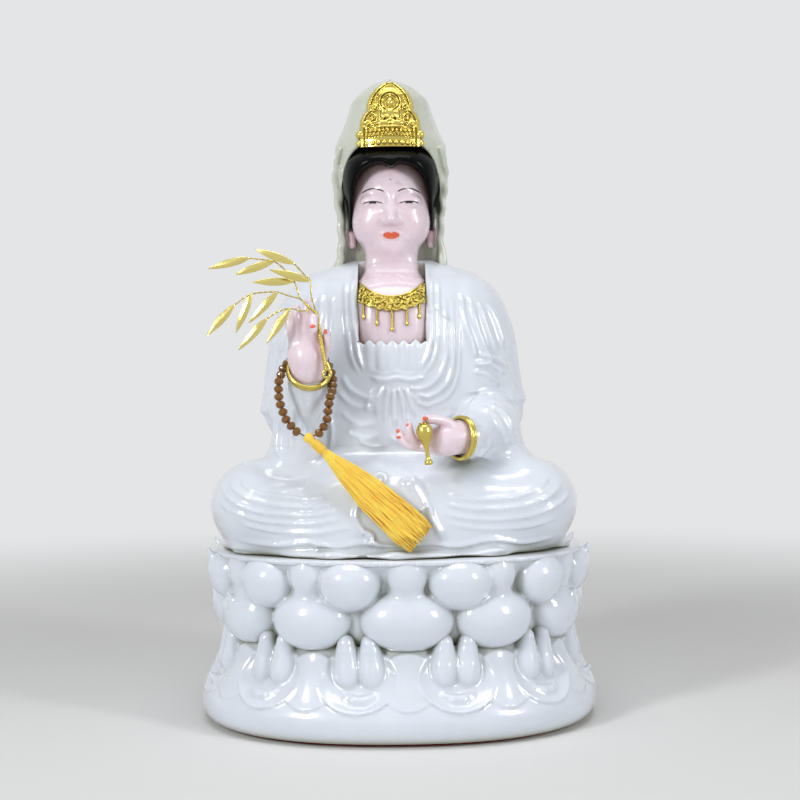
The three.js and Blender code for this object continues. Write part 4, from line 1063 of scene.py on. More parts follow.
def bust_extra(points, outward):
    """The three soft rings of the neck."""
    front = smooth_step(-outward[:, 1])
    return -0.4 * front * sum(np.exp(-((points[:, 2] - height + 0.012 * points[:, 0] ** 2) / 0.8) ** 2)
                              for height in NECK_RINGS)


carved_piece("head_and_chest", bust_field, (-25, -40, 165.5), (22, 24, 268), 0.6, face_skin, "rose_jade",
             "figure", ["bust"], (), (), bust_extra)

# %% [markdown]
# ## Hair
# The hair is a lacquered cap with a thick roll over the brow and a thin lock before each ear. It is a
# stack of ovals with an arch cut out for the face. Black lacquer is nearly a mirror, so fine strands are a
# bump only.

# %% Hair
LACQUER = Finish("black_lacquer", IOR=1.5, Specular_IOR_Level=0.06, Coat_Weight=0.04, Coat_Roughness=0.03)
strand = LACQUER.noise(1, 2, vector=LACQUER.stretched((1.1, 0.25, 0.9)))
LACQUER.bump(strand, 0.09)
LACQUER.surface(Base_Color=LACQUER.mix(strand, colour(1, 2, 2), colour(5, 7, 6)),
                Roughness=strand * 0.12 + 0.14)
HAIR_ROWS = [(227.5, 20.6, 19.5, -0.5), (234.9, 20.9, 23, -1.4), (240.5, 21.4, 25, -2.2),
             (245.5, 22.6, 26, -2.8), (251.6, 22.8, 26.2, -3.2), (257, 22, 25.6, -3.2),
             (261, 19.8, 22.6, -3.2), (264.4, 16.4, 17.6, -3.2), (268.4, 11, 11, -3.2)]
hair_stack = oval_stack(HAIR_ROWS, CENTRE_X, 2.6)


def arch(points, half_width, foot, height, power, peak=0.0):
    """Inside an arch seen from the front, with an optional small point that hangs in its middle."""
    aside = np.abs(points[:, 0] - CENTRE_X)
    up = np.clip((points[:, 2] - foot + peak * np.exp(-((aside / 2.6) ** 2))) / height, 0, None)
    return (((aside / half_width) ** power + up**power) ** (1 / power) - 1) * half_width


def hair_field(points):
    """The cap of hair, with an arch cut out for the face and a hollow over each ear."""
    local = np.abs(points - (CENTRE_X, 0, 0)) * (1, 0, 0) + points * (0, 1, 1)
    opening = np.maximum(arch(points, 18.1, 231, 25.8, 3.2, 2.4), points[:, 1] + 4)
    whole = without(hair_stack(points), opening, 1.8)
    return without(whole, egg(local, (23.4, 4, 234), (4, 10, 9.5)), 1)


carved_piece("hair", hair_field, (-26, -32, 226), (23, 26, 270), 0.7, LACQUER, "black_lacquer", "figure",
             ["hair_cap"])

# %% [markdown]
# ## The hood
# The veil over the head is one solid cap, hollowed in front for the head. Its front edge is rolled and
# wavy, and above the brow it closes into a high dome behind the crown.

# %% Hood
HOOD_ROWS = [(200.3, 27, 24.7, 8.8), (213.2, 25.9, 22.1, 7.8), (221.1, 24.8, 21.3, 7),
             (232, 23.8, 21.6, 5.7), (243.9, 25.9, 24.2, 4.7), (251.8, 27, 26, 3.6),
             (259.7, 26.2, 26.5, 3.1), (267.6, 26.2, 26, 2.9), (275.5, 22.7, 23.4, 2.9),
             (282.5, 20.3, 21.8, 2.9), (289, 18.3, 20.5, 2.9), (292, 15.8, 19.2, 3),
             (294.8, 12.6, 17.2, 3.4), (297, 9.2, 13.6, 3.8), (298.6, 6, 9, 3.9), (299.3, 2.8, 4, 3.9)]
hood_stack = oval_stack(HOOD_ROWS, CENTRE_X, 2.2)
HOOD_EDGE = [(27.2, -7, 203), (25.2, -6, 209), (23.6, -5, 218), (23.4, -5, 228), (24.4, -5.5, 238),
             (25.4, -6.5, 247), (25.6, -8, 254), (25, -10, 260), (23.4, -13, 265)]
HOOD_EDGE_RADII = (2.4, 2.1, 1.8, 1.7, 1.7, 1.8, 1.8, 1.6, 1.0)


# %% The hood's field
def hood_field(points):
    """The veil, with an arch cut out for the head and a rolled edge round it."""
    opening = np.maximum(arch(points, 22.9, 238, 29, 3.2), points[:, 1])
    shell = without(hood_stack(points), opening, 1.2)
    local = points - (CENTRE_X, 0, 0)
    local[:, 0] = np.abs(local[:, 0])
    return blended(shell, limb(local, HOOD_EDGE, HOOD_EDGE_RADII, 0.5), 1.2)


def hood_extra(points, outward):
    """Soft folds that run down from the crown, and a wavy front edge."""
    x, y, z = points.T
    angle = np.arctan2(x - CENTRE_X, -(y - 4))
    behind = smooth_step((np.abs(angle) - 0.9) / 0.5)
    edge = smooth_step((2 - y) / 6) * smooth_step((262 - z) / 8)
    folds = np.sin(angle * 9 + 0.03 * (z - 250)) * smooth_step((296 - z) / 20)
    return 0.45 * behind * folds + 0.35 * edge * np.sin(z * 0.62 + x)


carved_piece("hood_carved", hood_field, (-31, -27, 202), (28, 33, 300.4), 0.8, veil_jade, "white_jade",
             "figure", ["hood"], (), (), hood_extra)

# %% [markdown]
# ## Hands
# Each finger is a run of tapering rods with round ends, melted into the palm. Their places are shares of
# the hand's length, measured from the wrist. Painted nails are small separate shells.

# %% Hands
# Places and sizes are shares of the length. Each finger is a run of places and its thickness
FINGER_RADIUS = 2.1
RIGHT_HAND = {
    "length": 36, "palm": ((-0.02, -0.08, 0.24), (0.23, 0.12, 0.27)),
    "wrist": [(0, 0.2, -0.17), (0, 0.03, -0.01), (-0.01, -0.07, 0.17)],
    "fingers": [([(-0.17, -0.1, 0.34), (-0.22, -0.125, 0.56), (-0.22, -0.11, 0.71)], 0.85),
                ([(-0.1, -0.11, 0.37), (-0.13, -0.15, 0.61), (-0.13, -0.14, 0.79)], 0.95),
                ([(-0.02, -0.11, 0.38), (-0.01, -0.16, 0.67), (0, -0.145, 0.87)], 1),
                ([(0.07, -0.12, 0.38), (0.07, -0.18, 0.63), (0.075, -0.27, 0.66), (0.085, -0.315, 0.52)],
                 0.95),
                ([(0.13, -0.09, 0.12), (0.215, -0.15, 0.29), (0.235, -0.21, 0.47)], 1.1)]}
LEFT_HAND = {
    "length": 33, "palm": ((-0.3, -0.1, -0.045), (0.27, 0.13, 0.165)),
    "wrist": [(0.17, 0.22, 0.04), (0, 0.03, 0.015), (-0.2, -0.075, -0.015)],
    "fingers": [([(-0.075, -0.09, 0.13), (-0.26, -0.18, 0.24), (-0.47, -0.29, 0.265)], 1.1),
                ([(-0.45, -0.18, -0.02), (-0.53, -0.21, 0.1), (-0.53, -0.22, 0.2)], 0.9),
                ([(-0.6, -0.19, -0.08), (-0.675, -0.24, 0.06), (-0.7, -0.225, 0.2)], 0.85),
                ([(-0.54, -0.15, -0.1), (-0.74, -0.21, -0.03), (-0.84, -0.2, 0.11)], 0.85),
                ([(-0.48, -0.16, -0.12), (-0.71, -0.26, -0.08), (-0.83, -0.26, 0.03)], 0.8)]}
WRIST_RADIUS = 6.6


# %% The hands' fields
def hand_field(hand, wrist):
    """A field for one hand, from its table of wrist, palm and fingers."""
    length = hand["length"]

    def field(points):
        local = (points - wrist) / length
        middle, sizes = (np.array(values) for values in hand["palm"])
        wrist_run = [wrist + np.array(spot) * length for spot in hand["wrist"]]
        whole = limb(points, wrist_run, [WRIST_RADIUS, WRIST_RADIUS, WRIST_RADIUS * 0.95], 4)
        whole = blended(whole, egg(local, middle, sizes) * length, 5)
        for run, thick in hand["fingers"]:
            run = smooth_run([wrist + np.array(spot) * length for spot in run], 4 * len(run))
            finger = limb(points, run, FINGER_RADIUS * thick * np.linspace(1.08, 0.78, len(run)), 0.6)
            whole = blended(whole, finger, 1.3)
        return whole
    return field


for name, node, hand, wrist in (("raised_hand", "right_hand", RIGHT_HAND, RIGHT_WRIST),
                                ("holding_hand", "left_hand", LEFT_HAND, LEFT_WRIST)):
    low, high = cad_span(node)
    carved_piece(name, hand_field(hand, wrist), low - 2.5, high + 2.5, 0.5, skin, "rose_jade", "figure",
                 [node])

# %% [markdown]
# ## Gold ornaments
# Crown, necklace, bangles and vase are plated and polished. Polished metal shows its surroundings, so its
# look is mostly shape: fine relief that catches light. The plating is a darker tone in narrow places, and
# slight wear makes a small change of roughness.

# %% Gold
def gold_finish(name, bright, dark, rough, depth):
    finish = Finish(name, Metallic=1.0)
    wear = finish.noise(1.6, 4)
    tone = finish.mix(finish.crevice(1.6).below(0.5, 0.4), bright, dark)
    finish.bump(wear, depth)
    return finish.surface(Base_Color=tone, Roughness=wear * 0.12 + rough)


gold = gold_finish("gold_plate", colour(214, 194, 102), colour(84, 64, 18), 0.12, 0.03)
foil = gold_finish("gold_foil", colour(224, 208, 128), colour(146, 118, 52), 0.2, 0.12)
print("finishes:", gold.material.name, foil.material.name)

# %% The crown's relief
CROWN_FOOT = 264.1
CROWN_OUTLINE = [(0, 14.2), (7.6, 14.4), (12.6, 14), (15.6, 12.6), (17, 11), (20.6, 10.9), (24.6, 9.4),
                 (27.6, 7), (30, 4.2), (31.5, 1.8), (32, 0.4)]
CROWN_DEPTH = 1.4
CROWN_HEIGHT = 32
crown_up, crown_wide = np.array(CROWN_OUTLINE, float).T


def dome(u, v, middle, sizes, height):
    """A rounded boss on the plate."""
    share = ((u - middle[0]) / sizes[0]) ** 2 + ((v - middle[1]) / sizes[1]) ** 2
    return height * np.sqrt(np.clip(1 - share, 0, 1))


def ridge(distance, width, height):
    """A round bar where a distance is near 0."""
    return height * np.sqrt(np.clip(1 - (distance / width) ** 2, 0, 1))


def crown_relief(u, v):
    """Height of the crown's front: a double border, a halo, a small seated figure, and a lotus row."""
    side = np.abs(u)
    edge = np.interp(v, crown_up, crown_wide) - side
    top = np.minimum(edge, (CROWN_HEIGHT + 0.4 - v) * 1.2)
    parts = [ridge(top - 1.1, 1.0, 1.1), ridge(top - 3.0, 0.6, 0.7)]
    far = np.hypot(u, v - 21.4)
    parts += [ridge(far - 5.0, 0.6, 1.0), ridge(far - 3.7, 0.45, 0.8)]
    parts += [dome(u, v, (0, 21.2), (1.9, 2.4), 1.9), dome(u, v, (0, 24), (0.9, 0.9), 1.5),
              dome(side, v, (0, 15.4), (2.6, 3.4), 1.6), dome(side, v, (3.4, 15.2), (1.2, 2.8), 1.4),
              dome(side, v, (3.6, 11.4), (3.8, 1.5), 1.7), dome(side, v, (0, 12.6), (2.4, 1.1), 1.8),
              dome(side, v, (1.2, 14), (1.4, 0.7), 1.9), dome(side, v, (0, 9.6), (7.4, 0.8), 1.2)]
    for index in range(6):
        parts.append(dome(side, v, (1.1 + 2.0 * index, 7.6), (0.85, 1.1), 1.4))
    for index in range(7):
        spot = (7.4 + 0.45 * index - 0.06 * index**2, 18.6 - 1.35 * index)
        parts.append(dome(side, v, spot, (0.9, 0.55), 1.1))
    for index in range(8):
        parts.append(dome(side, v, (0.75 + 1.5 * index, 5.4 - 0.008 * index**2), (0.62, 0.62), 1.3))
    for middle, reach in (((8.4, 13.6), 2.2), ((10.6, 10.8), 1.7), ((7.4, 18.6), 1.6)):
        turn = np.hypot(side - middle[0], v - middle[1])
        parts += [ridge(turn - reach, 0.4, 0.8), dome(side, v, middle, (0.7, 0.7), 1.0)]
    return np.maximum.reduce(parts) * np.clip(edge / 0.5, 0, 1) ** 0.5


# %% The crown
def hood_front(height):
    """Where the hood's front lies at a height, in Y."""
    rows = np.array(HOOD_ROWS)
    return np.interp(height, rows[:, 0], rows[:, 3] - rows[:, 2])


def on_crown(u, v, out):
    """A place on the crown in the figure's own millimetres."""
    u, v, out = np.broadcast_arrays(u, v, out)
    y = hood_front(CROWN_FOOT + v) + u**2 / 52 - 0.4 - out
    return np.stack([CENTRE_X + u, y, CROWN_FOOT + v], -1)


def crown():
    body = Solid()
    up = np.linspace(0, CROWN_HEIGHT, 160)[:, None]
    share = np.linspace(-1, 1, 120)[None, :]
    across = share * np.interp(up, crown_up, crown_wide)
    front = on_crown(across, up, CROWN_DEPTH + crown_relief(across, up))
    back = on_crown(across[:, ::-1], up, 0 * across)
    body.loft(np.concatenate([front, back], axis=1))
    pearls = [(14.2, 1.6, 1.75), (13.9, 5.9, 2.1)]
    pearls += [(2.7 * index, 1.9 - 0.03 * index**2, 1.3) for index in range(5)]
    for u, v, size in pearls:
        for side in ((-1, 1) if u else (1,)):
            body.loft(ball_rings(on_crown(side * u, v, 1.2), (size, size, size), 16, 9))
    return body


crown().piece("crown_relief", gold, "gold_plate", "figure", "crown")

# %% Necklace
BAND_HALF_WIDTH = 15.2
GRAIN = 0.56


def chest_front(x, z):
    """Where the chest's skin lies at a place seen from the front, in Y."""
    rows = smooth_run(CHEST_ROWS, 80)
    half_width, half_depth, middle = (np.interp(z, rows[:, 0], rows[:, axis]) for axis in (1, 2, 3))
    share = np.clip(np.abs((x - CENTRE_X) / half_width), 0, 0.98)
    return middle - half_depth * (1 - share**CHEST_POWER) ** (1 / CHEST_POWER)


def band_edges(u):
    """Upper and lower edge of the band at a distance from its middle."""
    share = np.abs(u) / BAND_HALF_WIDTH
    upper = 194.2 + 7.4 * share**2.2
    lower = 188.0 + 4.4 * share**2 + 0.35 * np.cos(u * 1.55) - 0.3
    return upper, lower


def necklace():
    body, chance = Solid(), np.random.default_rng(5)
    u = np.linspace(-BAND_HALF_WIDTH, BAND_HALF_WIDTH, 90)
    upper, lower = band_edges(u)
    rings = []
    for place, (high, low) in zip(u, zip(upper, lower)):
        turn = np.linspace(0, 2 * pi, 20, endpoint=False)
        z = (high + low) / 2 + (high - low) / 2 * np.sin(turn)
        x = CENTRE_X + place + 0 * z
        rings.append(np.stack([x, chest_front(x, z) - 0.5 + 0.65 * np.cos(turn), z], -1))
    body.loft(np.array(rings))
    for share, size in ((1, 0.5), (0.52, 0.36), (0.06, 0.5)):
        z = lower + (upper - lower) * share
        x = CENTRE_X + u
        run = np.stack([x, chest_front(x, z) - 1.1, z], -1)
        body.loft(rounded_tube(run, size, 8))
    for _ in range(330):
        place, share = chance.uniform(-0.98, 0.98) * BAND_HALF_WIDTH, chance.uniform(0.04, 0.94)
        high, low = band_edges(place)
        z = low + (high - low) * share
        x = CENTRE_X + place
        size = GRAIN * chance.uniform(0.7, 1.35)
        body.loft(ball_rings((x, chest_front(x, z) - 1.2 - 0.3 * size, z), (size, size, size), 8, 5))
    for place, length in ((-12.9, 7.6), (-6.8, 8.0), (0.1, 10.4), (6.7, 8.2), (12.5, 7.6)):
        low = band_edges(place)[1] + 0.4
        for step in np.arange(0, length - 2.6, 0.82):
            x, z = CENTRE_X + place, low - step
            body.loft(ball_rings((x, chest_front(x, z) - 0.75, z), (0.62, 0.62, 0.5), 9, 6))
        z = low - length + 1.4
        drop = [(0.25, 1.5), (0.5, 0.9), (0.72, 0.1), (0.78, -0.5), (0.6, -1.1), (0.25, -1.4)]
        x = CENTRE_X + place
        body.loft(turned(drop, 12) + (x, chest_front(x, z) - 0.95, z))
    return body


necklace().piece("necklace_granulated", gold, "gold_plate", "figure", "necklace")

# %% [markdown]
# The bangles are double bands, so each is two round hoops side by side. A hoop closes on itself, which
# needs a last row of faces from the end back to the start. The vase is a lathe form, turned upside down.

# %% Bangles and vase
BANGLE_RADIUS = 9.1


def hoop(body, centre, normal, radius, tube, around=96, section=14):
    """A round ring of round section."""
    normal = unit(normal)
    side = unit(np.cross(normal, (0.3, 1, 0.1)))
    up = np.cross(normal, side)
    turn = np.linspace(0, 2 * pi, around, endpoint=False)[:, None, None]
    bend = np.linspace(0, 2 * pi, section, endpoint=False)[None, :, None]
    out = side * np.cos(turn) + up * np.sin(turn)
    rings = np.asarray(centre) + out * (radius + tube * np.cos(bend)) + normal * tube * np.sin(bend)
    index = np.arange(around * section).reshape(around, section)
    beside, next_ring = np.roll(index, -1, 1), np.roll(index, -1, 0)
    faces = np.stack([index, beside, np.roll(next_ring, -1, 1), next_ring], -1).reshape(-1, 4)
    return body.add(rings.reshape(-1, 3), faces)


for node, centre, normal in (("right_bangle", (-38.068, -56.214, 160.3), (0.137, -0.780, 0.610)),
                             ("left_bangle", (28.396, -54.984, 130.545), (-0.820, -0.570, 0.050))):
    band = Solid()
    for offset in (-0.62, 0.62):
        hoop(band, np.array(centre) + unit(normal) * offset, normal, BANGLE_RADIUS, 0.92)
    band.piece(f"{node}_double", gold, "gold_plate", f"{node}_ring", node)

VASE_MIDDLE = np.array([12.06, -66.86, 133.85])
VASE_RADIUS = 3.6
VASE_HEIGHT = 18.4
VASE_PROFILE = [(0.02, 0), (0.34, 0.0), (0.46, 0.02), (0.48, 0.07), (0.4, 0.11), (0.29, 0.15), (0.25, 0.24),
                (0.27, 0.36), (0.4, 0.48), (0.76, 0.62), (0.98, 0.73), (1, 0.8), (0.88, 0.9), (0.62, 0.955),
                (0.5, 0.965), (0.5, 0.985), (0.6, 1.0), (0.3, 1.0), (0.02, 0.985)]
vase_profile = smooth_run(VASE_PROFILE, 80) * (VASE_RADIUS, VASE_HEIGHT) - (0, 0.78 * VASE_HEIGHT)
lean = Vector((0, 0, 1)).rotation_difference(Vector((-0.12, 0, 1)).normalized()).to_matrix()
vase_rings = turned(vase_profile, 40) @ np.array(lean).T + VASE_MIDDLE
Solid().loft(vase_rings).piece("vase_turned", gold, "gold_plate", "figure", "vase")

# %% [markdown]
# ## The willow branch
# The stem is two wires twisted together, which ends in an eyelet. The twigs are single thin wires, and
# each leaf is a blade of thin foil with a folded midrib, a little bent.

# %% Branch
STEM_FOOT = np.array([-30.049, -65.256, 161.07])
STEM_TOP = np.array([-34.227, -64.656, 185.712])
STEM_ALONG = unit(STEM_TOP - STEM_FOOT)
EYELET_RADIUS = 1.75
SPRAY_REACH = 50
TWISTS = 13
TWIG_SHARES = [
    [(0, 0, 0), (-0.036, -0.04, 0.14), (-0.044, -0.05, 0.27), (-0.09, -0.05, 0.32), (-0.18, -0.05, 0.42)],
    [(0, 0, 0), (-0.046, -0.03, 0.036), (-0.084, -0.04, 0.074), (-0.138, -0.03, 0.132),
     (-0.184, -0.02, 0.27), (-0.266, -0.01, 0.374), (-0.358, -0.01, 0.446), (-0.45, -0.01, 0.462),
     (-0.572, -0.01, 0.476)],
    [(-0.084, -0.04, 0.074), (-0.14, -0.04, 0.12), (-0.232, -0.04, 0.146), (-0.328, -0.04, 0.178),
     (-0.44, -0.04, 0.178), (-0.548, -0.04, 0.164), (-0.624, -0.04, 0.126), (-0.698, -0.04, 0.072)],
    [(-0.046, -0.03, 0.036), (-0.112, -0.045, 0.012), (-0.222, -0.05, 0.036), (-0.326, -0.05, 0.008),
     (-0.42, -0.05, -0.05)]]
# Each leaf's twig, the place on it where the leaf starts, and the leaf's direction in degrees
LEAF_PLACES = [(0, 4, 159), (0, 2, 164), (1, 8, 194), (1, 6, 199), (1, 4, 181), (2, 3, 227), (2, 5, 247),
               (2, 7, 228), (3, 2, 236), (3, 4, 228)]
LEAF_LEAN = [-3, 2.3, -2, 4, 5.3, 1.7, -2.7, 3, -1.7, 2.7]
LEAF_LENGTH = 18.5
LEAF_HALF_WIDTH = 1.75


# %% Wires
def twisted(run, offset, tube, turns, around=8, strands=2):
    """Wires wound round each other along a run."""
    along = unit(np.gradient(run, axis=0))
    side = unit(np.cross(along, (0, 1, 0)))
    up = np.cross(along, side)
    angle = np.linspace(0, 2 * pi * turns, len(run))[:, None]
    for strand in range(strands):
        turn = angle + 2 * pi * strand / strands
        wire = run + offset * (side * np.cos(turn) + up * np.sin(turn))
        yield rounded_tube(wire, tube, around, upright=(0, 1, 0.02))


def branch():
    body = Solid()
    for rings in twisted(np.linspace(STEM_FOOT, STEM_TOP, TWISTS * 12), 0.5, 0.52, TWISTS):
        body.loft(rings)
    first = STEM_TOP + SPRAY_REACH * np.array(TWIG_SHARES[1][:3])
    for rings in twisted(smooth_run(first, 50), 0.32, 0.34, 5):
        body.loft(rings)
    hoop(body, STEM_FOOT - STEM_ALONG * EYELET_RADIUS, (0, -1, 0), EYELET_RADIUS, 0.62, 30, 8)
    for shares in TWIG_SHARES:
        run = smooth_run(STEM_TOP + SPRAY_REACH * np.array(shares), 9 * len(shares))
        for rings in twisted(run, 0.17, 0.2, len(run) / 9, 6):
            body.loft(rings)
    return body


branch().piece("branch_wires", gold, "gold_plate", "branch", "branch_wire")


# %% Leaves
def leaf(index):
    """A pointed blade of foil: rows across it, with a folded midrib and a bend along it."""
    twig, knot, degrees = LEAF_PLACES[index]
    base = STEM_TOP + SPRAY_REACH * np.array(TWIG_SHARES[twig][knot])
    share = np.linspace(0, 1, 26)[:, None]
    across = np.linspace(-1, 1, 13)[None, :]
    half = LEAF_HALF_WIDTH * np.sin(pi * np.clip(share * 0.97 + 0.02, 0, 1)) ** 0.8 * (1.18 - 0.4 * share)
    wave = 0.18 * np.sin(share * 9 + index * 1.7)
    midrib = 0.5 * (1 - np.abs(across)) * half / LEAF_HALF_WIDTH
    out = 0.4 + midrib + wave * across + 0.5 * np.sin(pi * share)
    front = np.stack(np.broadcast_arrays(share * LEAF_LENGTH - 0.4, -out, half * across), -1)
    back = front[:, ::-1] + (0, 0.26, 0)
    rings = np.concatenate([front, back], axis=1) - (0, 0.4, 0)
    lean, angle = radians(-LEAF_LEAN[index]), radians(degrees)
    sideways = np.array([[cos(lean), -sin(lean), 0], [sin(lean), cos(lean), 0], [0, 0, 1]])
    upward = np.array([[cos(angle), 0, -sin(angle)], [0, 1, 0], [sin(angle), 0, cos(angle)]])
    return rings @ sideways.T @ upward.T + base


for index in range(len(LEAF_PLACES)):
    node = f"leaf_{index + 1}"
    Solid().loft(leaf(index)).piece(f"foil_{node}", foil, "gold_foil", "branch", node)

# %% [markdown]
# ## Beads, cord and tassel
# The beads are faceted glass rondelles: two rows of flat faces round a thin girdle. Flat shading keeps
# every facet crisp. The tassel's skirt is a few hundred yarns that fan out from the knot. Hair particles
# could make them, but an exported part needs real meshes, so each yarn is a thin tube with its own small
# wave.

# %% Beads
amber = Finish("amber_glass", IOR=1.6, Transmission_Weight=0.25, Roughness=0.04, Coat_Weight=0.15,
               Coat_Roughness=0.03)
amber_tone = amber.mix(amber.noise(5, 2), colour(156, 100, 4), colour(108, 66, 0))
amber.surface(Base_Color=amber_tone)
BEADS = 28
BEAD_RADIUS = 2.08
BEAD_FACETS = 10
BEAD_PROFILE = [(0.95, -1.62), (1.7, -1.05), (BEAD_RADIUS, -0.3), (BEAD_RADIUS, 0.3), (1.7, 1.05),
                (0.95, 1.62)]
STRING_OFFSETS = [
    (-1.5, -8.7, -27.2), (-5.7, -8.3, -24.8), (-9.6, -7.7, -20.1), (-11.9, -6.7, -14.6), (-13.1, -5.5, -8.8),
    (-12.9, -3.5, -2.9), (-11.3, 0.7, 2.4), (-7.5, 6.3, 7.2), (-0.5, 8.7, 9.2), (6.3, 7.7, 6.4),
    (9.1, 5.3, 2), (10.3, 2.5, -2.8), (10.4, -1.5, -7.4), (9.2, -5.5, -11), (8.7, -7.3, -15.2),
    (8.1, -8.3, -20), (6.3, -8.7, -24.2), (3.9, -8.7, -26.6), (1.5, -8.7, -27.2)]
string_run = np.array([-38.068, -55.854, 159.58]) + np.array(STRING_OFFSETS)
string_steps = np.concatenate([[0], np.cumsum(np.linalg.norm(np.diff(string_run, axis=0), axis=1))])
CORD_LENGTH = string_steps[-1]
BEAD_PITCH = 3.52
KNOT_RADIUS = 2.4


def along_string(length):
    """The point of the string at a length from its knot."""
    return np.stack([np.interp(length, string_steps, string_run[:, axis]) for axis in range(3)], -1)


# %% The string of beads
def beads():
    body = Solid()
    angle = pi / BEAD_FACETS
    half_facet = np.array([[cos(angle), sin(angle), 0], [-sin(angle), cos(angle), 0], [0, 0, 1]])
    for index in range(BEADS):
        place = KNOT_RADIUS + (index + 0.5) * BEAD_PITCH
        centre = along_string(place)
        along = unit(along_string(place + 1.2) - along_string(place - 1.2))
        turn = Vector((0, 0, 1)).rotation_difference(Vector(along)).to_matrix()
        rings = turned(BEAD_PROFILE, BEAD_FACETS)
        rings[[1, 4]] = rings[[1, 4]] @ half_facet
        body.loft(rings @ np.array(turn).T + centre)
    return body


bead_nodes = [f"bead_{index:02d}" for index in range(1, BEADS + 1)]
bead_piece = beads().piece("faceted_beads", amber, "amber_glass", "bead_string", *bead_nodes, flat=True)
print("cord length, mm:", round(CORD_LENGTH, 2))

# %% Cord
thread = Finish("brown_thread", Roughness=0.7)
ply = thread.noise(0.3, 2, vector=thread.stretched((3, 3, 3)))
thread.bump(ply, 0.05)
thread.surface(Base_Color=thread.mix(ply, colour(120, 74, 30), colour(84, 50, 22)))
CORD_RADIUS = 0.3
cord_points = along_string(np.linspace(0, CORD_LENGTH, 160))
cord_piece = Solid().loft(tube_rings(cord_points, CORD_RADIUS, 8, (0.1, 1, 0.05))).piece(
    "bead_thread", thread, "brown_thread", "bead_string", "bead_cord")

# %% Tassel
yarn = Finish("yellow_yarn", Roughness=0.55, Sheen_Weight=0.4, Sheen_Roughness=0.4)
yarn_depth = yarn.noise(6, 3).below(0.52, 0.16)
yarn_fibre = yarn.noise(0.5, 2, vector=yarn.stretched((2, 2, 2)))
yarn.bump(yarn_fibre, 0.08)
# Painted shade: ambient occlusion darkens the narrow places between the yarns toward orange
yarn.surface(Base_Color=yarn.mix(yarn.crevice(2).below(0.55, 0.4), yarn.mix(
    yarn_depth * 0.55, colour(255, 228, 92), colour(252, 200, 66)), colour(228, 150, 40)))
TASSEL_TOP = np.array([-38.068, -64.554, 131.78])
TASSEL_ALONG = np.array([0.73489, -0.07576, -0.67394])
TASSEL_OUT = np.array([0, -0.99374, 0.11171])
TASSEL_ACROSS = unit(np.cross(TASSEL_OUT, TASSEL_ALONG))
TASSEL_LENGTH = 66
YARNS = 330
SKIRT_WIDTH = [(0, 0.2), (0.04, 0.23), (0.1, 0.34), (0.24, 0.58), (0.45, 0.84), (0.75, 0.98), (1, 0.92)]
SKIRT_HALF_WIDTH = 8.2
SKIRT_HALF_DEPTH = 2.7
SKIRT_START = 9.4


# %% The tassel's yarns
def skirt_spot(share, across, out):
    """A point in the yarns, at a share of their length and two shares of the bundle's section."""
    width = np.interp(share, *zip(*SKIRT_WIDTH))
    length = SKIRT_START + share * (TASSEL_LENGTH - SKIRT_START)
    sag = 0.9 * np.sin(pi * share)
    aside = SKIRT_HALF_WIDTH * width * across
    return (TASSEL_TOP + TASSEL_ALONG * length[:, None] + TASSEL_ACROSS * aside[:, None]
            + TASSEL_OUT * ((0.3 + 0.7 * width) * SKIRT_HALF_DEPTH * out - sag)[:, None])


def tassel_skirt():
    body, chance = Solid(), np.random.default_rng(11)
    for _ in range(YARNS):
        angle, far = chance.uniform(0, 2 * pi), chance.uniform(0.25, 1) ** 0.5
        end = chance.uniform(0.9, 1.0)
        share = np.linspace(0, end, 17)
        phase, beat = chance.uniform(0, 6), chance.uniform(14, 24)
        wave = chance.uniform(0.02, 0.07) * np.sin(beat * share + phase) * share
        run = skirt_spot(share, far * cos(angle) * np.ones(17) + wave, far * sin(angle) + 2 * wave)
        body.loft(tube_rings(run, chance.uniform(0.26, 0.4), 5, (0, 1, 0.3)))
    return body


# %% The tassel's knot
def tassel_knot():
    """A ball at the top, a wrapped neck, and the flare where the yarns start."""
    body = Solid()
    profile = [(0.8, -1.8), (1.9, -1.2), (2.3, 0), (2.0, 1.4), (1.6, 2.4), (1.8, 3.6), (2.0, 5),
               (1.95, 6.6), (1.7, 8), (1.6, 9.2), (1.5, 10.2)]
    turn = np.array(Vector((0, 0, 1)).rotation_difference(Vector(TASSEL_ALONG)).to_matrix())
    rings = turned(smooth_run(profile, 70), 40)
    angle = np.linspace(0, 2 * pi, 40, endpoint=False)
    rings[..., :2] *= (1 + 0.03 * np.sin(angle * 13)[None, :] * np.linspace(1, 0.4, 70)[:, None])[..., None]
    body.loft(rings @ turn.T + TASSEL_TOP)
    for step in np.arange(3.4, 8.4, 0.55):
        hoop(body, TASSEL_TOP + TASSEL_ALONG * step, TASSEL_ALONG, 1.98, 0.3, 28, 6)
    return body


tassel_skirt().piece("tassel_yarns", yarn, "yellow_yarn", "tassel", "tassel_skirt")
knot_piece = tassel_knot().piece("tassel_wrapped_knot", yarn, "yellow_yarn", "bead_string", "tassel_knot")

# %% [markdown]
# ## Nails, jewel, felt and birch
# The last small things: coral nails, a clear stone on the brow, the felt under the base, and the birch
# dowel and pegs inside. Those whose CAD shape is right only get a finish.

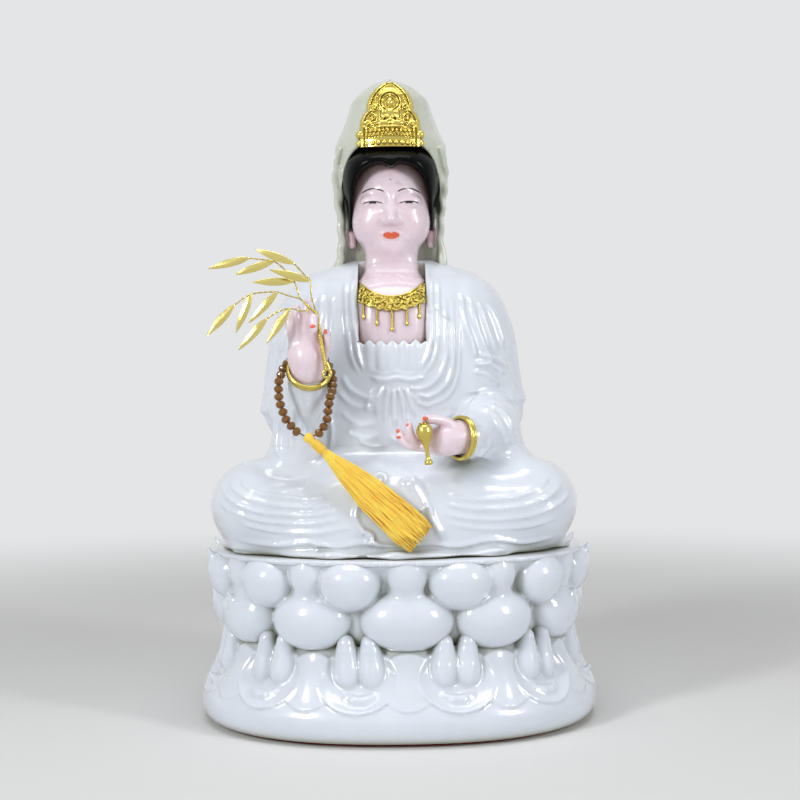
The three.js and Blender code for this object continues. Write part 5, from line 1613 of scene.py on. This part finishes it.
# %% Nails
coral = Finish("coral_nail_paint", Roughness=0.18, Coat_Weight=0.6, Coat_Roughness=0.05)
coral.surface(Base_Color=coral.mix(coral.noise(0.8, 2), colour(236, 96, 58), colour(222, 112, 84)))
NAILS = [((-35.4, -68.2, 179.6), (1.35, 0.7, 1.0)), ((-30.2, -66.0, 177.6), (0.8, 0.9, 1.2)),
         ((12.4, -66.4, 139.6), (1.3, 0.8, 0.95)), ((10.4, -63.9, 136.4), (0.7, 0.8, 1.1)),
         ((4.9, -63.4, 136.6), (0.75, 0.8, 1.1)), ((0.6, -62.9, 134.2), (0.8, 0.8, 1.1)),
         ((0.9, -64.9, 131.6), (1.0, 0.8, 0.7))]
nail_body = Solid()
for centre, sizes in NAILS:
    nail_body.loft(ball_rings(centre, sizes, 14, 8))
nail_body.piece("painted_nails", coral, "rose_jade", "figure")

# %% Finishes for CAD pieces that stay
felt = Finish("red_felt", Roughness=0.95, Sheen_Weight=0.5, Sheen_Roughness=0.6)
fuzz = felt.noise(0.8, 4, 0.7)
felt.bump(fuzz, 0.15)
felt.surface(Base_Color=felt.mix(fuzz, colour(178, 34, 34), colour(132, 18, 22)))
birch = Finish("birch", Roughness=0.6)
grain = birch.noise(1.5, 3, vector=birch.stretched((1, 1, 0.12)))
birch.bump(grain, 0.05)
birch.surface(Base_Color=birch.mix(grain, colour(214, 184, 140), colour(184, 148, 104)))
crystal = Finish("clear_jewel", IOR=1.6, Transmission_Weight=0.9, Roughness=0.02)
crystal.surface(Base_Color=crystal.mix(crystal.noise(0.5, 2), colour(244, 248, 250), colour(222, 230, 236)))
for node, finish in (("foot_pad", felt), ("throne_dowel", birch), ("right_hand_peg", birch),
                     ("left_hand_peg", birch), ("forehead_jewel", crystal)):
    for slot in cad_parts[node].material_slots:
        slot.material = finish.material


# %% [markdown]
# ## Floor and light
# The statue stands on a plain pale floor that curves up into a backdrop. Two tall soft boxes in front, one
# on each side, and one above give the long highlights of a studio. The world fills the shadows. More light
# would whiten the far floor and the stone alike. So for rays that come from the camera, or by way of gold or
# glass, the far floor and the sky glow by themselves, and the near floor keeps the statue's shadow.

# %% Floor and backdrop
PALE = colour(228, 229, 230)
BLACK = (0, 0, 0, 1)
GLOW_RADIUS, GLOW_SOFTNESS = 560, 320


def seen_directly(finish):
    """1 for rays from the camera, and for those that gold or glass send on."""
    camera_ray, glossy_ray, clear_ray = (finish.node("ShaderNodeLightPath", output=f"Is {kind} Ray")
                                         for kind in ("Camera", "Glossy", "Transmission"))
    return camera_ray.most(glossy_ray).most(clear_ray)


floor_finish = Finish("studio_floor", Roughness=0.6, Specular_IOR_Level=0, Emission_Strength=1)
x, y, z = floor_finish.place()
glow = (1 - ((x * x + y * y + z * z) ** 0.5).below(GLOW_RADIUS, GLOW_SOFTNESS)) * seen_directly(floor_finish)
floor_tone = floor_finish.mix(floor_finish.noise(300), colour(236, 236, 235), colour(230, 231, 231))
floor_finish.surface(Base_Color=floor_finish.mix(glow, floor_tone, BLACK),
                     Emission_Color=floor_finish.mix(glow, BLACK, PALE))


# %% The backdrop
def backdrop():
    """A floor that rises into a wall behind the object."""
    reach, bend = 4000, 600
    corner = [(reach - bend + bend * sin(turn), bend - bend * cos(turn))
              for turn in np.linspace(0, pi / 2, 16)]
    line = [(-reach, 0)] + corner + [(reach, 3000)]
    points = [(side * reach, y, z) for y, z in line for side in (-1, 1)]
    faces = [(2 * i, 2 * i + 1, 2 * i + 3, 2 * i + 2) for i in range(len(line) - 1)]
    mesh = bpy.data.meshes.new("backdrop")
    mesh.from_pydata((np.array(points) * MM).tolist(), [], faces)
    mesh.polygons.foreach_set("use_smooth", [True] * len(faces))
    mesh.materials.append(floor_finish.material)
    made = bpy.data.objects.new("backdrop", mesh)
    bpy.context.collection.objects.link(made)


backdrop()

# %% Lamps
world = bpy.data.worlds.new("studio")
bpy.context.scene.world = world
bpy.context.scene.view_settings.view_transform = "Standard"
world.use_nodes = True
FILL = 0.24


class Sky(Finish):
    """The world's nodes, with the same shader maths."""

    def __init__(self, world):
        self.tree = world.node_tree
        self.shader = self.tree.nodes["Background"]


sky = Sky(world)
fill = (FILL, FILL, FILL, 1)
sky.surface(Strength=1, Color=sky.mix(seen_directly(sky), fill, PALE))
AIM = Vector((0, 0, 140)) * MM


def soft_box(name, place, size, watts):
    """A rectangular lamp that faces the figure."""
    lamp = bpy.data.lights.new(name, "AREA")
    lamp.shape, lamp.size, lamp.size_y, lamp.energy = "RECTANGLE", size[0] * MM, size[1] * MM, watts
    made = bpy.data.objects.new(name, lamp)
    made.location = Vector(place) * MM
    made.rotation_euler = (AIM - made.location).to_track_quat("-Z", "Y").to_euler()
    bpy.context.collection.objects.link(made)


soft_box("lamp_left", (-800, -900, 620), (200, 360), 7)
soft_box("lamp_right", (900, -700, 520), (180, 360), 4.4)
soft_box("lamp_above", (0, -250, 1300), (800, 500), 5)
